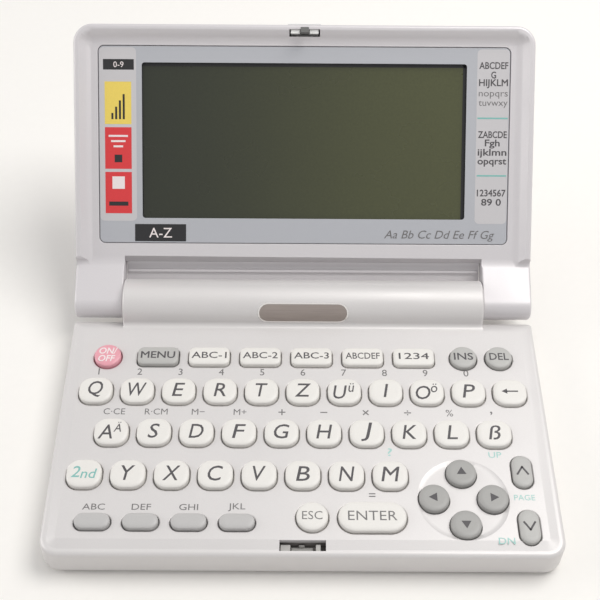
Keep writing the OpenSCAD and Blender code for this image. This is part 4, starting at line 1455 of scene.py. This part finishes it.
@dataclass
class Latch:
    """The latch of the lid, white with painted shade on its hook and behind it, and the catch in the base.

    Attributes:
        inner: Half width of the hook's gap between the shoulders, in millimetres.
        outer: Half width of the carrier.
        low: Lower side of the carrier along the lid.
        high: Upper side of the carrier.
    """

    inner: float = 1.4
    outer: float = 4.0
    low: float = 78.05
    high: float = 79.25

    def latch(self) -> None:
        """Makes the latch, its hook darkened as painted shade, and the well and guide behind it, black and
        grey as painted shade.
        """
        shoulders = [Block((x, self.low + 0.15, -3.4), (x + self.outer - self.inner, self.high + 0.12, 0.4))
                     for x in (self.inner, -self.outer)]
        body = [Block((-self.outer, self.low, -3.4), (self.outer, self.high, -2.3)),
                Block((-2.6, self.high - 0.1, -3.3), (2.6, 80.95, -2.3)),
                Block((-4.8, 80.85, -3.7), (4.8, 81.35, -1.6), 0.2)]
        mould("latch_slider", shoulders + body, LID, "latch", Paint.LATCH, ["latch"])
        # The hook is the same white plastic as the slider, painted dark grey as shade.
        hook = [Block((-1.2, 78.2, -3.3), (1.2, self.high - 0.02, 3.0)),
                Block((-1.2, 79.0, 2.2), (1.2, 79.75, 3.0))]
        mould("latch_hook", hook, LID, "latch", Paint.HOOK)
        # The guide is grey and the well black as painted shade in the slot behind the latch.
        guide = Block((-2.4, 77.3, -3.9), (2.4, 78.1, -3.5))
        mould("latch_guide", [guide], LID, "lid", Paint.GREY_KEY)
        well = Block((-4.9, 76.9, -4.15), (4.9, 79.9, -3.85), 0.05)
        mould("latch_well", [well], LID, "lid", Paint.SEAL_AND_SHADE)

    def catch(self) -> None:
        """Makes the catch's blocks and the well that they stand in."""
        blocks = [Block((-5.6, 1.6, 5.6), (-3.1, 3.6, 8.9)), Block((3.3, 1.6, 5.6), (4.5, 3.6, 9.0)),
                  Block((-2.85, 1.6, 5.6), (2.6, 3.6, 7.4)), Block((-1.0, 3.4, 5.6), (0.5, 3.75, 8.4))]
        mould("catch_block", blocks, BASE, "base", Paint.CATCH)
        well = [Block((-6.2, 1.3, 6.15), (6.2, 4.25, 6.45), 0.05),
                Block((-6.2, 4.3, 6.3), (6.2, 4.5, 9.1), 0.05)]
        mould("catch_well", well, BASE, "base", Paint.WELL)

    def build(self) -> None:
        """Makes the latch and the catch."""
        self.latch()
        self.catch()


@dataclass
class Underside:
    """Screws, foot pads and the grip of the battery door.

    Attributes:
        screw_x: Distance of the screws from the middle, in millimetres.
        screw_y: Places of the screws from the front edge.
        head_r: Radius of a screw head.
        head_h: Height of a screw head.
        head_z: Lower side of a screw head.
        slot: Half the length and half the width of a bar of the cross.
        slot_z: Lower and upper end of the cross, from the middle of the head.
        front: Place of the right front pad.
        front_r: Its radius.
        front_z: Its lower side.
        rear: Place of the right rear pad.
        rear_size: Its width and length.
        rear_z: Its lower side, just under the moulded foot.
        pad_t: Thickness of the pads.
        rib_y: Place of the grip's first rib.
        rib_step: Distance from rib to rib.
        ribs: Number of ribs.
    """

    screw_x: float = 62.9
    screw_y: tuple[float, float] = (3.8, 67.4)
    head_r: float = 1.45
    head_h: float = 0.66
    head_z: float = 0.72
    slot: tuple[float, float] = (0.85, 0.2)
    slot_z: tuple[float, float] = (-0.6, 0.05)
    front: tuple[float, float] = (55.5, 9.0)
    front_r: float = 3.66
    front_z: float = -0.004
    rear: tuple[float, float] = (48.85, 78.4)
    rear_size: tuple[float, float] = (4.72, 8.52)
    rear_z: float = -0.013
    pad_t: float = 0.6
    rib_y: float = 73.6
    rib_step: float = 1.5
    ribs: int = 5

    def screw(self, x: float, y: float) -> Mesh:
        """Makes one cross-head screw head, seen from below.

        Args:
            x: Its place from the middle.
            y: Its place from the front edge.

        Returns:
            A new closed mesh.
        """
        head = disc(self.head_r, self.head_h, 28)
        round_low(head, 0.0, 0.22)
        low, high = self.slot_z
        for wide, deep in (self.slot, self.slot[::-1]):
            head = cut(head, Block((-wide, -deep, low), (wide, deep, high), 0.03).mesh())
        return shift(head, x, y, self.head_z + self.head_h / 2)

    def screws(self) -> None:
        """Makes the four case screws."""
        heads = [self.screw(side * self.screw_x, y) for side in (-1.0, 1.0) for y in self.screw_y]
        make_piece("case_screws", merge(bmesh.new(), *heads), BASE, "base", Paint.STEEL)

    def feet(self) -> None:
        """Makes the rubber pads over the moulded feet."""
        pads = []
        for side in (-1.0, 1.0):
            front = disc(self.front_r, self.pad_t, 40)
            shift(front, side * self.front[0], self.front[1], self.front_z + self.pad_t / 2)
            rear = plate(*self.rear_size, self.pad_t, 0.5, 4)
            shift(rear, side * self.rear[0], self.rear[1], self.rear_z)
            pads += [front, rear]
        for pad in pads:
            round_low(pad, 0.1, 0.2)
        make_piece("foot_pads", merge(bmesh.new(), *pads), BASE, "base", Paint.RUBBER)

    def grip(self) -> None:
        """Makes the ribs and the arrow by which the battery door is pushed."""
        starts = [self.rib_y + self.rib_step * i for i in range(self.ribs)]
        ribs = [Block((-8.0, y, 0.32), (8.0, y + 0.7, 0.8), 0.15).mesh() for y in starts]
        arrow = shift(disc(1.9, 0.44, 3), 12.5, 76.9, 0.57)
        make_piece("door_grip", merge(bmesh.new(), *ribs, arrow), BASE, "battery_door", Paint.CASE)

    def build(self) -> None:
        """Makes the details of the underside."""
        self.screws()
        self.feet()
        self.grip()


def main() -> None:
    """Builds the dictionary's pieces in order."""
    logging.basicConfig(level=logging.INFO, format="%(message)s")
    Studio().build()
    dress_nodes()
    for part in (Keyboard(), Legends(), Display(), Shells(), Badge(), Latch(), Underside()):
        part.build()
    LOG.info("all pieces made")


if __name__ == "__main__":
    main()
